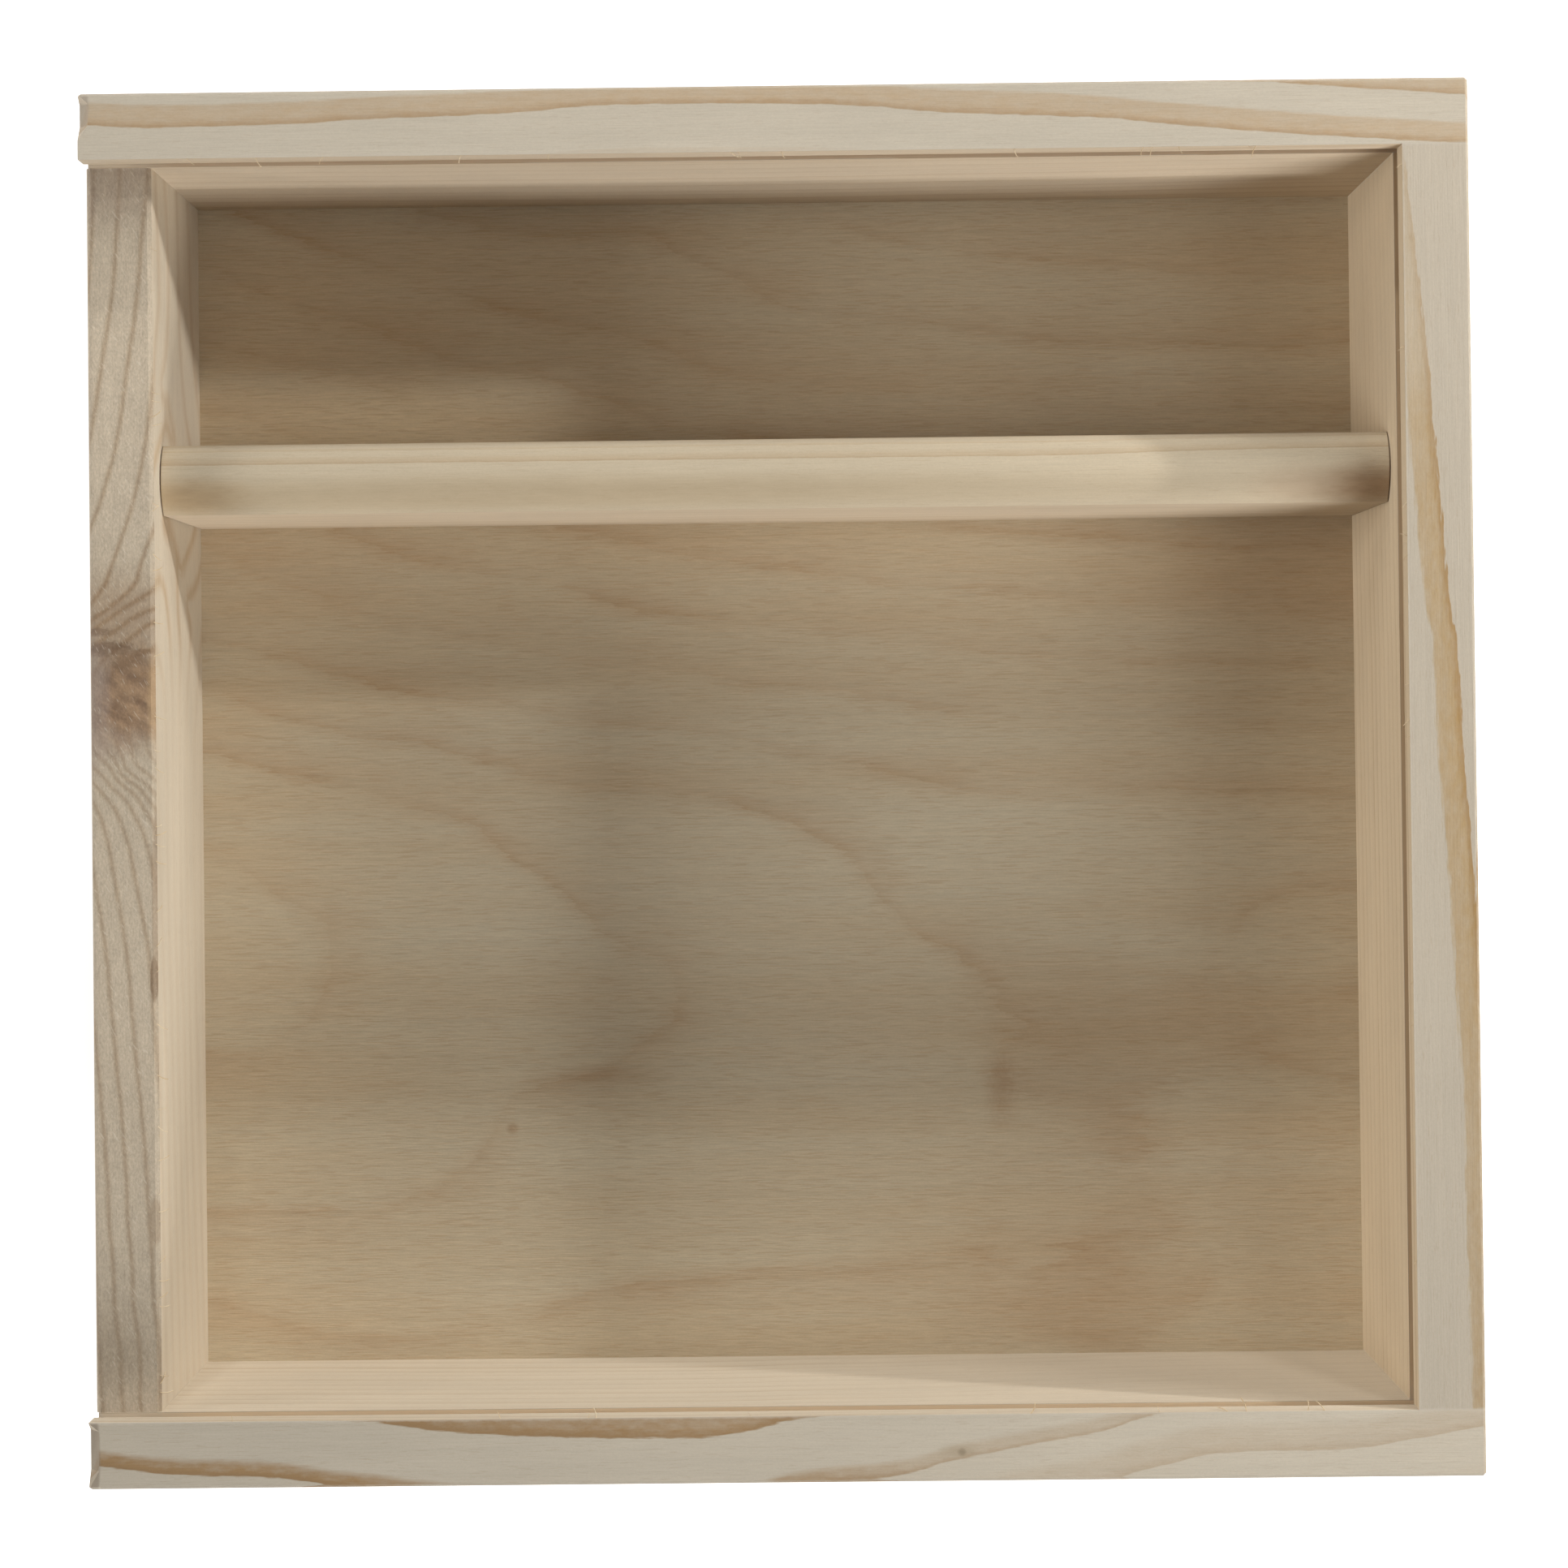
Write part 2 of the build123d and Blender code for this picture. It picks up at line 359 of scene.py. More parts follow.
    @cached_property
    def edges(self) -> bpy.types.NodeTree:
        """One at a board's long edges, falling to nothing a little way in.

        Returns:
            The node group.
        """
        graph, given, end = new_group(
            "board_edges", {"Place": ORIGIN, "Low": ORIGIN, "High": (1.0, 1.0, 1.0),
                            "Width": 0.6}, ("Edge",))
        below = graph.split(graph.vector("SUBTRACT", given["Place"], given["Low"]))
        above = graph.split(graph.vector("SUBTRACT", given["High"], given["Place"]))
        a, b, c = (graph.math("MINIMUM", low, high) for low, high in zip(below, above))
        second = graph.math("MAXIMUM", graph.math("MINIMUM", a, b),
                            graph.math("MINIMUM", graph.math("MAXIMUM", a, b), c))
        ragged = graph.noise(graph.vector("MULTIPLY", given["Place"], (0.8,) * 3), 3.0)
        width = graph.math("MULTIPLY", given["Width"], graph.math("MULTIPLY", ragged, 2.0))
        graph.feed(end.inputs[0], graph.remap(second, width, 0.0, smooth=True))
        return graph.tree

    @cached_property
    def patches(self) -> bpy.types.NodeTree:
        """Broad soft patches, three times as long along the grain as across it.

        Returns:
            The node group.
        """
        graph, given, end = new_group(
            "tone_patches", {"Grain": ORIGIN, "Size": 12.0, "Seed": 0.0}, ("Patch",))
        place = drawn_out(graph, given["Grain"], graph.math("MULTIPLY", given["Size"], 3.0),
                          given["Size"], (given["Seed"], 0.0, given["Seed"]))
        graph.feed(end.inputs[0], graph.remap(graph.noise(place), 0.3, 0.7))
        return graph.tree

    @cached_property
    def nap(self) -> bpy.types.NodeTree:
        """The fuzz of cut fibres: fine specks, and longer pale hairs here and there.

        Returns:
            The node group.
        """
        graph, given, end = new_group(
            "cut_nap", {"Grain": ORIGIN, "Seed": 0.0}, ("Speck", "Hair"))
        seed = graph.join(*[given["Seed"]] * 3)
        fine = graph.vector("ADD", graph.vector("MULTIPLY", given["Grain"], (2.2, 4.0, 4.0)), seed)
        graph.feed(end.inputs["Speck"], graph.remap(graph.noise(fine, 3.0, 0.65), 0.3, 0.7))
        long = graph.vector("MULTIPLY", graph.turn(given["Grain"], 32), (0.9, 4.5, 4.5))
        hair = graph.noise(graph.vector("ADD", long, seed))
        graph.feed(end.inputs["Hair"], graph.remap(hair, 0.6, 0.74, smooth=True))
        return graph.tree


# ------------------------------------------------------------------ finishes


class Coat(Graph):
    """The graph of a new material, with the point on the piece that it colours."""

    def __init__(self, name: str, effects: Effects | None = None, seed: float = 0.0) -> None:
        """Start a material.

        Args:
            name: the material's name.
            effects: the shared node groups.
            seed: what makes its patterns its own.
        """
        self.effects, self.seed = effects, seed
        self.material = bpy.data.materials.new(name)
        self.material.use_nodes = True
        super().__init__(self.material.node_tree)

    @cached_property
    def texture(self) -> bpy.types.Node:
        """The node of texture coordinates."""
        return self.add("ShaderNodeTexCoord")

    @cached_property
    def place(self) -> Socket:
        """The point on the piece, in millimetres."""
        return self.vector("MULTIPLY", self.texture.outputs["Object"], (1 / MM,) * 3)

    @cached_property
    def grain(self) -> Socket:
        """The point, as along, across and up."""
        return self.place

    def pattern(self, name: str, shift: float = 0.0, **values: object) -> bpy.types.Node:
        """One of the shared patterns, laid along the grain, with its seed moved on."""
        values = {"Grain": self.grain, "Seed": self.seed + shift} | values
        return self.use(getattr(self.effects, name), **values)

    def finish(self, inputs: dict[str, object], relief: tuple | None = None
               ) -> bpy.types.Material:
        """Feed the shader.

        Args:
            inputs: what feeds its inputs, by name.
            relief: a pattern that stands out, how strongly, and how high in millimetres.

        Returns:
            The material.
        """
        if relief:
            height, strength, depth = relief
            inputs["Normal"] = self.add("ShaderNodeBump", {
                "Strength": strength, "Distance": depth * MM, "Height": height})
        shader = self.tree.nodes["Principled BSDF"]
        for name, value in inputs.items():
            self.feed(shader.inputs[name], value)
        return self.material


@dataclass(frozen=True)
class Ring:
    """The dark late wood of one year that shows clearly on a top face."""

    radius: float  # where it ends, outward from the chosen ring
    width: float  # how thick its dark wood is
    strength: float  # how dark it is, from 0 to 1
    shoulder: float = 0.12  # the share of its width over which it darkens


@dataclass(frozen=True)
class Mark:
    """A knot, a spot of dirt or resin, or a patch of painted shade or painted light, between two
    8-bit colours.
    """

    centre: Place
    size: Place
    dark: tuple[int, int, int]
    light: tuple[int, int, int]
    strength: float = 0.85
    ragged: float = 0.7
    soft: float = 0.3
    lean: float = 0.0  # degrees from +X to the way that its fibres run

    def lay(self, coat: Coat, colour: Socket, top_face: Number) -> Socket:
        """Lay the mark over faces that look up.

        Args:
            coat: the material's graph.
            colour: the wood's colour.
            top_face: one on faces that look up.

        Returns:
            The colour with the mark in it.
        """
        spot = coat.use(coat.effects.mark, Place=coat.place, Centre=self.centre,
                        Size=self.size, Ragged=self.ragged, Soft=self.soft)
        fibres = coat.vector("MULTIPLY", coat.turn(coat.place, -self.lean), (0.22, 0.7, 0.3))
        inside = coat.mix(coat.remap(coat.noise(fibres, 5.0, 0.62), 0.36, 0.64),
                          srgb(*self.dark), srgb(*self.light))
        factor = coat.math("MULTIPLY", spot, coat.math("MULTIPLY", top_face, self.strength))
        return coat.mix(factor, colour, inside)


@dataclass(frozen=True)
class PineTones:
    """The colours of one pine board."""

    early: Colour = srgb(203, 187, 164)
    late: Colour = srgb(184, 161, 129)
    line: Colour = srgb(156, 126, 92)
    top_early: Colour = srgb(196, 185, 166)
    top_late: Colour = srgb(178, 154, 122)
    end: Colour = srgb(190, 166, 134)


@dataclass(frozen=True)
class PineFinish:
    """Planed pine, with the growth rings of one board."""

    node: str
    grain: Grain
    beside: float = 0.0  # from the heart of the tree to the chosen ring, across the board
    below: float = 0.0  # from the heart of the tree up to the top face
    path: Curve = ()  # where the chosen ring runs on the top face: along, across
    rings: tuple[Ring, ...] = ()  # the clear rings beside the chosen one, in order of radius
    clear: Point = (-4.0, 4.0)  # the radii between which only the clear rings show
    spacing: float = 3.0  # from year to year in the rest of the board
    tones: PineTones = PineTones()
    seed: float = 0.0
    fray: float = 0.05  # how ragged the rings are
    sawn: bool = False  # whether the top face is left rough and grey by the saw
    light: Curve = ()  # painted light and shade on the top face, along the board
    painted_face_light: Curve = ()  # painted light and shade on the upright faces, along the board
    clearness: Curve = ()  # how clearly the rings show, along the board
    drawn: Curve = ()  # how dark the rings drawn on the mesh's top are, along it
    face_drawn: Curve = ()  # the same on its upright faces
    faces: float = 0.45  # how strongly the rings show on the faces that don't look up
    marks: tuple[Mark, ...] = ()
    groove: Point | None = None  # the groove's lowest and highest point
    cut: Colour = srgb(216, 191, 158)  # the groove's fresh wood, made pale as painted light in the shaded groove
    edge_wear_and_highlight: float = 0.5  # how pale the edges are, partly from wear and partly as a painted highlight
    arris_shade: float = 0.19  # painted shade on the slanting arrises, which face the low lamps


class PineCoat(Coat):
    """The material of one pine board."""

    INNER_FACE = 95.0  # from the middle of the box to the boards' inner faces
    RAIL_BEVEL = -102.8  # where the bevel at the rails' entry ends stops
    WORN_AND_HIGHLIT_EDGE = srgb(198, 188, 172)  # an edge pale from wear and from a painted highlight
    GROOVE_MOUTH_LIGHT = srgb(206, 189, 164)  # painted light in the groove near its open end
    GROOVE_EDGE_SHADE = srgb(150, 118, 84)  # painted shade along the groove's lower edge
    FRESH_FIBRE = srgb(222, 211, 192)
    WANDER = 0.12  # how far the rings stray over a few centimetres
    SHARP = 0.07  # the width of the step from late wood to the next year's early wood
    BAND_REACH = 0.75  # how far a drawn ring's soft band spreads from its middle
    LINE_REACH = 0.35  # the same of its dark line
    RAGGED = 0.16  # how far a drawn ring strays along its length
    SAWN_GREYS = (srgb(172, 157, 136), srgb(186, 173, 152))  # what the saw leaves, in patches
    MOUTH_SPAN = (4.0 - INNER_FACE, -1.0 - INNER_FACE)  # where the painted light at the groove's mouth fades in
    ARRIS = 0.4  # how wide the pale edge of a face is

    def __init__(self, wood: PineFinish, effects: Effects) -> None:
        """Find the point's place along the grain and the patterns that several steps share.

        Args:
            wood: the board's finish.
            effects: the shared node groups.
        """
        super().__init__(f"pine_{wood.node}", effects, wood.seed)
        self.wood = wood
        self.low, self.high = (Vector(corner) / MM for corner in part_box(wood.node))
        axes = dict(zip("XYZ", self.split(self.place)))
        self.along, self.across, self.up = (axes[letter] for letter in wood.grain.value)
        self.grain = self.join(self.along, self.across, self.up)
        self.facing = dict(zip("XYZ", self.split(self.texture.outputs["Normal"])))
        self.top_face = self.remap(self.facing["Z"], 0.35, 0.8)
        self.fine = self.pattern("streaks", Length=9.0, Width=0.28)
        self.patch = self.pattern("patches", Size=9.0)
        coarse = (0.8 if wood.sawn else 1.0,) * 3
        self.nap = self.pattern("nap", Grain=self.vector("MULTIPLY", self.grain, coarse))

    def course(self, heights: Curve) -> Socket:
        """A value that varies along the board."""
        return self.curve(self.along, heights)

    def radius(self) -> Socket:
        """How far out in the tree the point lies.

        Returns:
            The distance from the chosen ring, in millimetres.
        """
        wood = self.wood
        spread = self.math("SUBTRACT", self.across, self.course(wood.path))
        depth = self.math("SUBTRACT", self.high.z, self.up)
        return self.pattern("growth", Spread=spread, Depth=depth, Beside=wood.beside,
                            Below=wood.below, Wander=self.WANDER, Fray=wood.fray).outputs[0]

    def clear_rings(self, radius: Socket) -> tuple[Socket, ...]:
        """The dark part of each clear ring, and the thin darker line at its outer edge.

        Args:
            radius: how far out in the tree the point lies.

        Returns:
            The band's and the line's sockets.
        """
        # Each band rises to its shoulder, holds, and darkens up to a sharp outer edge
        low, high = self.wood.clear
        bands, lines = [(low, 0.0)], [(low, 0.0)]
        for ring in self.wood.rings:
            start = ring.radius - ring.width
            edge = [(ring.radius - self.SHARP, ring.strength), (ring.radius, 0.0)]
            bands += [(start, 0.0),
                      (start + ring.shoulder * ring.width, 0.65 * ring.strength),
                      (ring.radius - 0.35 * ring.width, 0.75 * ring.strength), *edge]
            lines += [(ring.radius - 0.3 * ring.width, 0.0), *edge]
        return tuple(self.curve(radius, (*points, (high, 0.0)), smooth=False)
                     for points in (bands, lines))

    def late_wood(self) -> tuple[Socket, ...]:
        """The late wood of the whole board: its clear rings, and ordinary years elsewhere.

        Returns:
            The band's and the line's sockets.
        """
        radius = self.radius()
        low, high = self.wood.clear
        within = self.math("MULTIPLY", self.math("GREATER_THAN", radius, low),
                           self.math("LESS_THAN", radius, high))
        outside = self.math("SUBTRACT", 1.0, within)
        years = self.use(self.effects.years, Radius=radius, Spacing=self.wood.spacing,
                         Seed=self.seed)
        return tuple(self.math("MULTIPLY_ADD", year, outside, clear)
                     for year, clear in zip(years.outputs, self.clear_rings(radius)))

    def drawn_rings(self) -> tuple[Socket, ...]:
        """The soft dark rings whose year numbers the mesh carries.

        Returns:
            The band's and the line's sockets.
        """
        phase = self.math("FRACT", self.math("ADD", self.number(GriddedPiece.YEAR), 0.5))
        away = self.math("ABSOLUTE", self.math("SUBTRACT", phase, 0.5))
        away = self.math("MULTIPLY", away, self.number(GriddedPiece.PITCH))
        ragged = self.pattern("streaks", Length=5.0, Width=0.7)
        away = self.math("MULTIPLY_ADD", ragged, self.RAGGED,
                         self.math("SUBTRACT", away, self.RAGGED / 2))
        dark = self.remap(self.top_face, 0.0, 1.0, self.course(self.wood.face_drawn),
                          self.course(self.wood.drawn))
        crisp = self.math("MULTIPLY", dark, self.remap(self.top_face, 0.0, 1.0, 0.3, 1.0))
        band = self.remap(away, self.BAND_REACH, 0.05, smooth=True)
        line = self.remap(away, self.LINE_REACH, 0.0, smooth=True)
        return self.math("MULTIPLY", band, dark), self.math("MULTIPLY", line, crisp)

    def rings(self) -> tuple[Socket, ...]:
        """The rings as clearly as they show along the board and on each of its faces.

        Returns:
            The band's and the line's sockets.
        """
        wood = self.wood
        band, line = self.drawn_rings() if wood.drawn else self.late_wood()
        if wood.clearness:
            clear = self.course(wood.clearness)
            band, line = (self.math("MULTIPLY", part, clear) for part in (band, line))
        mottled = self.noise(self.vector("MULTIPLY", self.grain, (0.45, 1.1, 1.1)), 4.0, 0.6)
        band = self.math("MULTIPLY", band, self.remap(mottled, 0.3, 0.7, 0.72, 1.1))
        seen = self.remap(self.top_face, 0.0, 1.0, wood.faces, 1.0)
        return tuple(self.math("MULTIPLY", part, seen) for part in (band, line))

    def planed(self, band: Socket, line: Socket) -> Socket:
        """The colour of planed wood.

        Args:
            band: where late wood is.
            line: where its darkest edge is.

        Returns:
            The colour.
        """
        tones = self.wood.tones
        early = self.mix(self.top_face, tones.early, tones.top_early)
        late = self.mix(self.top_face, tones.late, tones.top_late)
        colour = self.mix(band, early, late)
        colour = self.mix(self.math("MULTIPLY", line, 0.45), colour, tones.line)
        broad = self.pattern("streaks", 3.0, Length=60.0, Width=1.6)
        for pattern, amount in ((broad, 0.06), (self.fine, 0.08), (self.patch, 0.05),
                                (self.nap, 0.07)):
            colour = self.shade(colour, pattern, amount)
        flecks = self.pattern("flecks", Length=2.2, Width=0.16, Rare=0.66)
        colour = self.mix(self.math("MULTIPLY", flecks, 0.13), colour, tones.line)
        end_face = self.math("ABSOLUTE", self.facing[self.wood.grain.value[0]])
        end_grain = self.math("MULTIPLY", self.remap(end_face, 0.6, 0.8), 0.45)
        return self.mix(end_grain, colour, tones.end)

    def sawn(self, colour: Socket) -> Socket:
        """Grey the sawn top face and catch its torn fibres.

        Args:
            colour: the wood's colour.

        Returns:
            The colour with the sawn face.
        """
        dull = self.mix(self.patch, *self.SAWN_GREYS)
        blotch = self.noise(self.vector("MULTIPLY", self.grain, (0.5, 0.85, 0.85)), 4.0, 0.62)
        rough = self.shade(self.mix(0.12, colour, dull), self.remap(blotch, 0.32, 0.68), 0.14)
        rough = self.shade(rough, self.nap, 0.26)
        hairs = self.math("MULTIPLY", self.nap.outputs["Hair"], 0.3)
        return self.mix(self.top_face, colour, self.mix(hairs, rough, self.FRESH_FIBRE))

    def grooved(self, colour: Socket) -> Socket:
        """Paint the groove's inside pale, as fresh wood and as painted light that grows towards
        its open end, and paint shade along its lower edge.

        Args:
            colour: the wood's colour.

        Returns:
            The colour with the groove.
        """
        low, high = self.wood.groove
        half = (high - low) / 2
        away = self.math("ABSOLUTE", self.math("SUBTRACT", self.up, (low + high) / 2))
        deep = self.math("ABSOLUTE", self.across)
        inside = self.math("MULTIPLY", self.remap(away, half + 0.12, half + 0.02),
                           self.remap(deep, self.INNER_FACE + 0.02, self.INNER_FACE + 0.1))
        mouth_light = self.remap(self.along, *self.MOUTH_SPAN)
        # painted light: the groove's inside pale, paler still at its open end
        colour = self.mix(inside, colour, self.mix(mouth_light, self.wood.cut, self.GROOVE_MOUTH_LIGHT))
        # painted shade just below the groove's lower edge
        below = self.math("SUBTRACT", low, self.up)
        ragged = self.math("MULTIPLY", self.fine, 0.9)
        lip_shade = self.math("MULTIPLY", self.remap(below, ragged, 0.0),
                        self.math("GREATER_THAN", below, 0.0))
        return self.mix(self.math("MULTIPLY", lip_shade, 0.25), colour, self.GROOVE_EDGE_SHADE)

    def paint_light_along(self, colour: Socket) -> Socket:
        """Paint light and shade along the board onto the top face and the upright faces.

        Args:
            colour: the wood's colour.

        Returns:
            The varied colour.
        """
        upright = self.math("SUBTRACT", 1.0, self.top_face)
        for heights, part in ((self.wood.light, self.top_face),
                              (self.wood.painted_face_light, upright)):
            if heights:
                level = self.math("SUBTRACT", self.course(heights), 1.0)
                colour = self.dim(colour, self.math("MULTIPLY_ADD", level, part, 1.0))
        return colour

    def eased(self, colour: Socket) -> Socket:
        """Paint shade on the slanting arrises, and paint the ragged edges of the faces pale, as
        wear and as a highlight.

        Args:
            colour: the wood's colour.

        Returns:
            The colour with the edges.
        """
        edge = self.use(self.effects.edges, Place=self.place, Low=self.low, High=self.high,
                        Width=self.ARRIS)
        slanting_shade = self.math("MULTIPLY", self.remap(self.facing["Z"], 0.97, 0.8),
                             self.remap(self.facing["Z"], 0.1, 0.3))
        slanting_shade = self.math("MULTIPLY", slanting_shade, self.remap(
            self.along, self.RAIL_BEVEL - 0.1, self.RAIL_BEVEL + 0.1))
        # painted shade on the slanting arrises
        colour = self.dim(colour, self.math("MULTIPLY_ADD", slanting_shade, -self.wood.arris_shade, 1.0))
        # pale edges: wear and a painted highlight
        return self.mix(self.math("MULTIPLY", edge, self.wood.edge_wear_and_highlight), colour, self.WORN_AND_HIGHLIT_EDGE)

    def build(self) -> bpy.types.Material:
        """Lay everything over each other.

        Returns:
            The material.
        """
        band, line = self.rings()
        colour = self.planed(band, line)
        for mark in self.wood.marks:
            colour = mark.lay(self, colour, self.top_face)
        if self.wood.sawn:
            colour = self.sawn(colour)
        # painted light and shade along the board
        colour = self.paint_light_along(colour)
        if self.wood.groove:
            colour = self.grooved(colour)
        relief = self.math("MULTIPLY_ADD", self.nap, 0.35, self.fine)
        relief = self.math("MULTIPLY_ADD", band, 0.8, relief)
        return self.finish({"Base Color": self.eased(colour), "Specular IOR Level": 0.3,
                            "Roughness": self.math("MULTIPLY_ADD", band, -0.08, 0.72)},
                           (relief, 0.35, 0.06))


@dataclass(frozen=True)
class PlywoodFinish:
    """Rotary-cut face veneer over a cross-banded core."""

    name: str
    underside: float  # how high its lower face lies
    thickness: float
    seed: float
    marks: tuple[Mark, ...] = ()
    clear: Colour = srgb(204, 191, 165)  # the veneer between its lines, in two tones
    warm: Colour = srgb(200, 180, 149)
    late: Colour = srgb(172, 134, 95)  # the line of each year
    nap: Colour = srgb(224, 208, 178)  # the fibres that stand up
    core: Colour = srgb(184, 150, 112)
    glue: Colour = srgb(120, 88, 60)
    veneer: float = 0.65  # the thickness of each face veneer
    line_reach: float = 2.2  # how far a year's line fades to either side
    tail_reach: float = 9.0  # how far its late wood fades inwards
    fray: float = 1.5  # how far the fibres feather a line
    wander: float = 1.8  # how far a line strays in broad bends

    def material(self, effects: Effects) -> bpy.types.Material:
        """Build the material.

        Args:
            effects: the shared node groups.

        Returns:
            The material.
        """
        coat = Coat(self.name, effects, self.seed)
        colour = self.veneer_colour(coat)
        for mark in self.marks:
            colour = mark.lay(coat, colour, 1.0)
        lathe = coat.pattern("streaks", Length=40.0, Width=0.5)
        pores = coat.pattern("streaks", 9.0, Length=3.6, Width=0.22)
        nap = coat.pattern("nap")
        vessels = coat.pattern("flecks", Length=3.2, Width=0.2, Rare=0.6)
        for pattern, amount in ((lathe, 0.09), (pores, 0.18), (nap, 0.07)):
            colour = coat.shade(colour, pattern, amount)
        colour = coat.mix(coat.math("MULTIPLY", vessels, 0.22), colour, self.late)
        colour = coat.mix(coat.math("MULTIPLY", nap.outputs["Hair"], 0.12), colour, self.nap)

        # The core and its glue lines, which show at the edges and in the notch
        half = self.thickness / 2
        depth = coat.math("SUBTRACT", coat.split(coat.place)[2], self.underside)
        middle = coat.math("ABSOLUTE", coat.math("SUBTRACT", depth, half))
        skin = half - self.veneer
        colour = coat.mix(coat.remap(middle, skin, skin - 0.03), colour,
                          coat.shade(self.core, pores, 0.2))
        off_glue = coat.math("ABSOLUTE", coat.math("SUBTRACT", middle, skin))
        colour = coat.mix(coat.remap(off_glue, 0.07, 0.03), colour, self.glue)
        return coat.finish({"Base Color": colour, "Specular IOR Level": 0.25,
                            "Roughness": coat.remap(pores, 0.0, 1.0, 0.78, 0.66)},
                           (pores, 0.3, 0.05))

    def veneer_colour(self, coat: Coat) -> Socket:
        """The face veneer: clear wood with feathered tan lines, one for each year.

        Args:
            coat: the material's graph.

        Returns:
            The colour.
        """
        pitch = coat.number(GriddedPiece.PITCH)
        feather = coat.pattern("streaks", Length=9.0, Width=0.6)
        drift = coat.pattern("patches", Size=6.0)
        middle = (self.fray + self.wander) / 2
        stray = coat.math("ADD", coat.math("MULTIPLY", feather, self.fray),
                          coat.math("MULTIPLY_ADD", drift, self.wander, -middle))
        year = coat.math("ADD", coat.number(GriddedPiece.YEAR),
                         coat.math("DIVIDE", stray, pitch))
        behind = coat.math("MULTIPLY", coat.math("FRACT", year), pitch)
        ahead = coat.math("SUBTRACT", pitch, behind)
        nearest = coat.math("MINIMUM", ahead, behind)
        line = coat.remap(nearest, self.line_reach, 0.0, smooth=True)
        tail = coat.remap(ahead, self.tail_reach, 0.0, smooth=True)
        band = coat.math("MULTIPLY_ADD", line, 0.26, coat.math("MULTIPLY", tail, 0.28))
        broken = coat.pattern("patches", 2.0, Size=11.0)
        band = coat.math("MULTIPLY", band, coat.remap(broken, 0.1, 0.9, 0.1, 0.8))
        broad = coat.pattern("streaks", 5.0, Length=90.0, Width=9.0)
        return coat.mix(band, coat.mix(broad, self.clear, self.warm), self.late)


@dataclass(frozen=True)
class PlainFinish:
    """A finish whose two tones and roughness drift in soft patches."""

    name: str
    first: Colour
    second: Colour
    patch: float  # how large the patches are
    seed: float
    rough: Point  # the roughness of the first and the second tone
    shader: tuple[tuple[str, float], ...]  # what else the shader is set to

    def material(self, effects: Effects) -> bpy.types.Material:
        """Build the material.

        Args:
            effects: the shared node groups.

        Returns:
            The material.
        """
        coat = Coat(self.name, effects, self.seed)
        patch = coat.pattern("patches", Size=self.patch)
        return coat.finish({"Base Color": coat.mix(patch, self.first, self.second),
                            "Roughness": coat.remap(patch, 0.0, 1.0, *self.rough),
                            **dict(self.shader)})


STEEL = PlainFinish("brad_wire", srgb(196, 194, 188), srgb(150, 145, 136), 0.8, 2.0,
                    (0.28, 0.5), (("Metallic", 1.0),))
FIBRE = PlainFinish("pine_fibre", srgb(222, 206, 176), srgb(196, 170, 132), 1.5, 4.0,
                    (0.7, 0.85), (("Specular IOR Level", 0.2),))


# ----------------------------------------------------- the finish of each board


def marked(*rows: tuple) -> tuple[Mark, ...]:
    """Marks, from rows that hold their fields in order."""
    return tuple(Mark(*row) for row in rows)


GROOVE = (39.3, 42.3)  # the lid groove's lowest and highest point

BACK_RAIL = PineFinish(
    node="back_rail", grain=Grain.ALONG_X,
    path=((-104, 100.3), (-91, 99.7), (-72, 100), (-61, 100.6), (-39, 101.2), (-21, 102.2),
          (12, 101.8), (24, 100.8), (45, 99.9), (60, 98.5), (77, 97), (105, 94.9)),
    rings=(Ring(-3, 1.2, 0.8), Ring(0, 1.45, 0.85)), clear=(-4.4, 3), beside=-51.0, below=108.0,
    spacing=3.0, tones=PineTones(top_late=srgb(182, 153, 116)), seed=1.3,
    # painted light along the top, and painted light on the inner face towards the end wall,
    # against that wall's shadow
    light=((-105, 0.99), (0, 1.04), (105, 1.04)),
    painted_face_light=((-105, 1), (-30, 1.02), (0, 1.08), (60, 1.18), (105, 1.2)),
    marks=marked(
        # painted shade on the bevel at the rail's entry end
        ((-104.2, 103.2, 45.2), (1.5, 4.6, 2.6), (158, 145, 130), (172, 159, 143), 0.7, 0.2, 0.15,
         90),
    ),
    groove=GROOVE, cut=srgb(204, 180, 150),
)

FRONT_RAIL = PineFinish(
    node="front_rail", grain=Grain.ALONG_X,
    path=((-104, -101.6), (-93, -102.8), (-78, -103.3), (-66, -105), (-61, -105.5), (-54, -106.6),
          (-41, -107.6), (-32, -108), (-14, -108.3), (-6, -107.4), (1, -105.6), (8, -104.7),
          (15, -104.2), (25, -101.9), (36, -99.7), (47, -97.8), (53, -95.8), (58, -94.7),
          (66, -93.2), (84, -93), (93, -91.8), (105, -89.5)),
    rings=(Ring(-3, 1.2, 1.3, 0.3), Ring(0, 0.9, 1.35, 0.35), Ring(2.95, 1.95, 1, 0.3)),
    clear=(-4.2, 4.6), beside=-41.0, below=113.0, spacing=3.0, seed=4.1,
    # painted shade along the top, deepest towards the entry end
    light=((-105, 0.8), (-40, 0.88), (60, 1), (105, 1.02)),
    tones=PineTones(early=srgb(201, 188, 167), top_late=srgb(162, 131, 92),
                    line=srgb(152, 123, 88)),
    clearness=((-105, 1), (-70, 0.98), (-48, 0.92), (-8, 0.84), (15, 0.5), (30, 0.34),
               (105, 0.33)),
    marks=marked(
        # painted shade on the bevel at the rail's entry end
        ((-104.2, -100, 45.2), (1.5, 8, 2.6), (138, 124, 108), (154, 140, 122), 0.75, 0.2, 0.15,
         90),
        ((26.5, -100.6, 46), (0.55, 0.5, 2), (118, 108, 88), (140, 126, 102), 0.8, 0.3, 0.6),
        ((26, -100.4, 46), (2.4, 0.9, 2), (160, 144, 118), (170, 152, 126), 0.5, 0.5, 0.8),
    ),
    groove=GROOVE, cut=srgb(222, 200, 167),
)

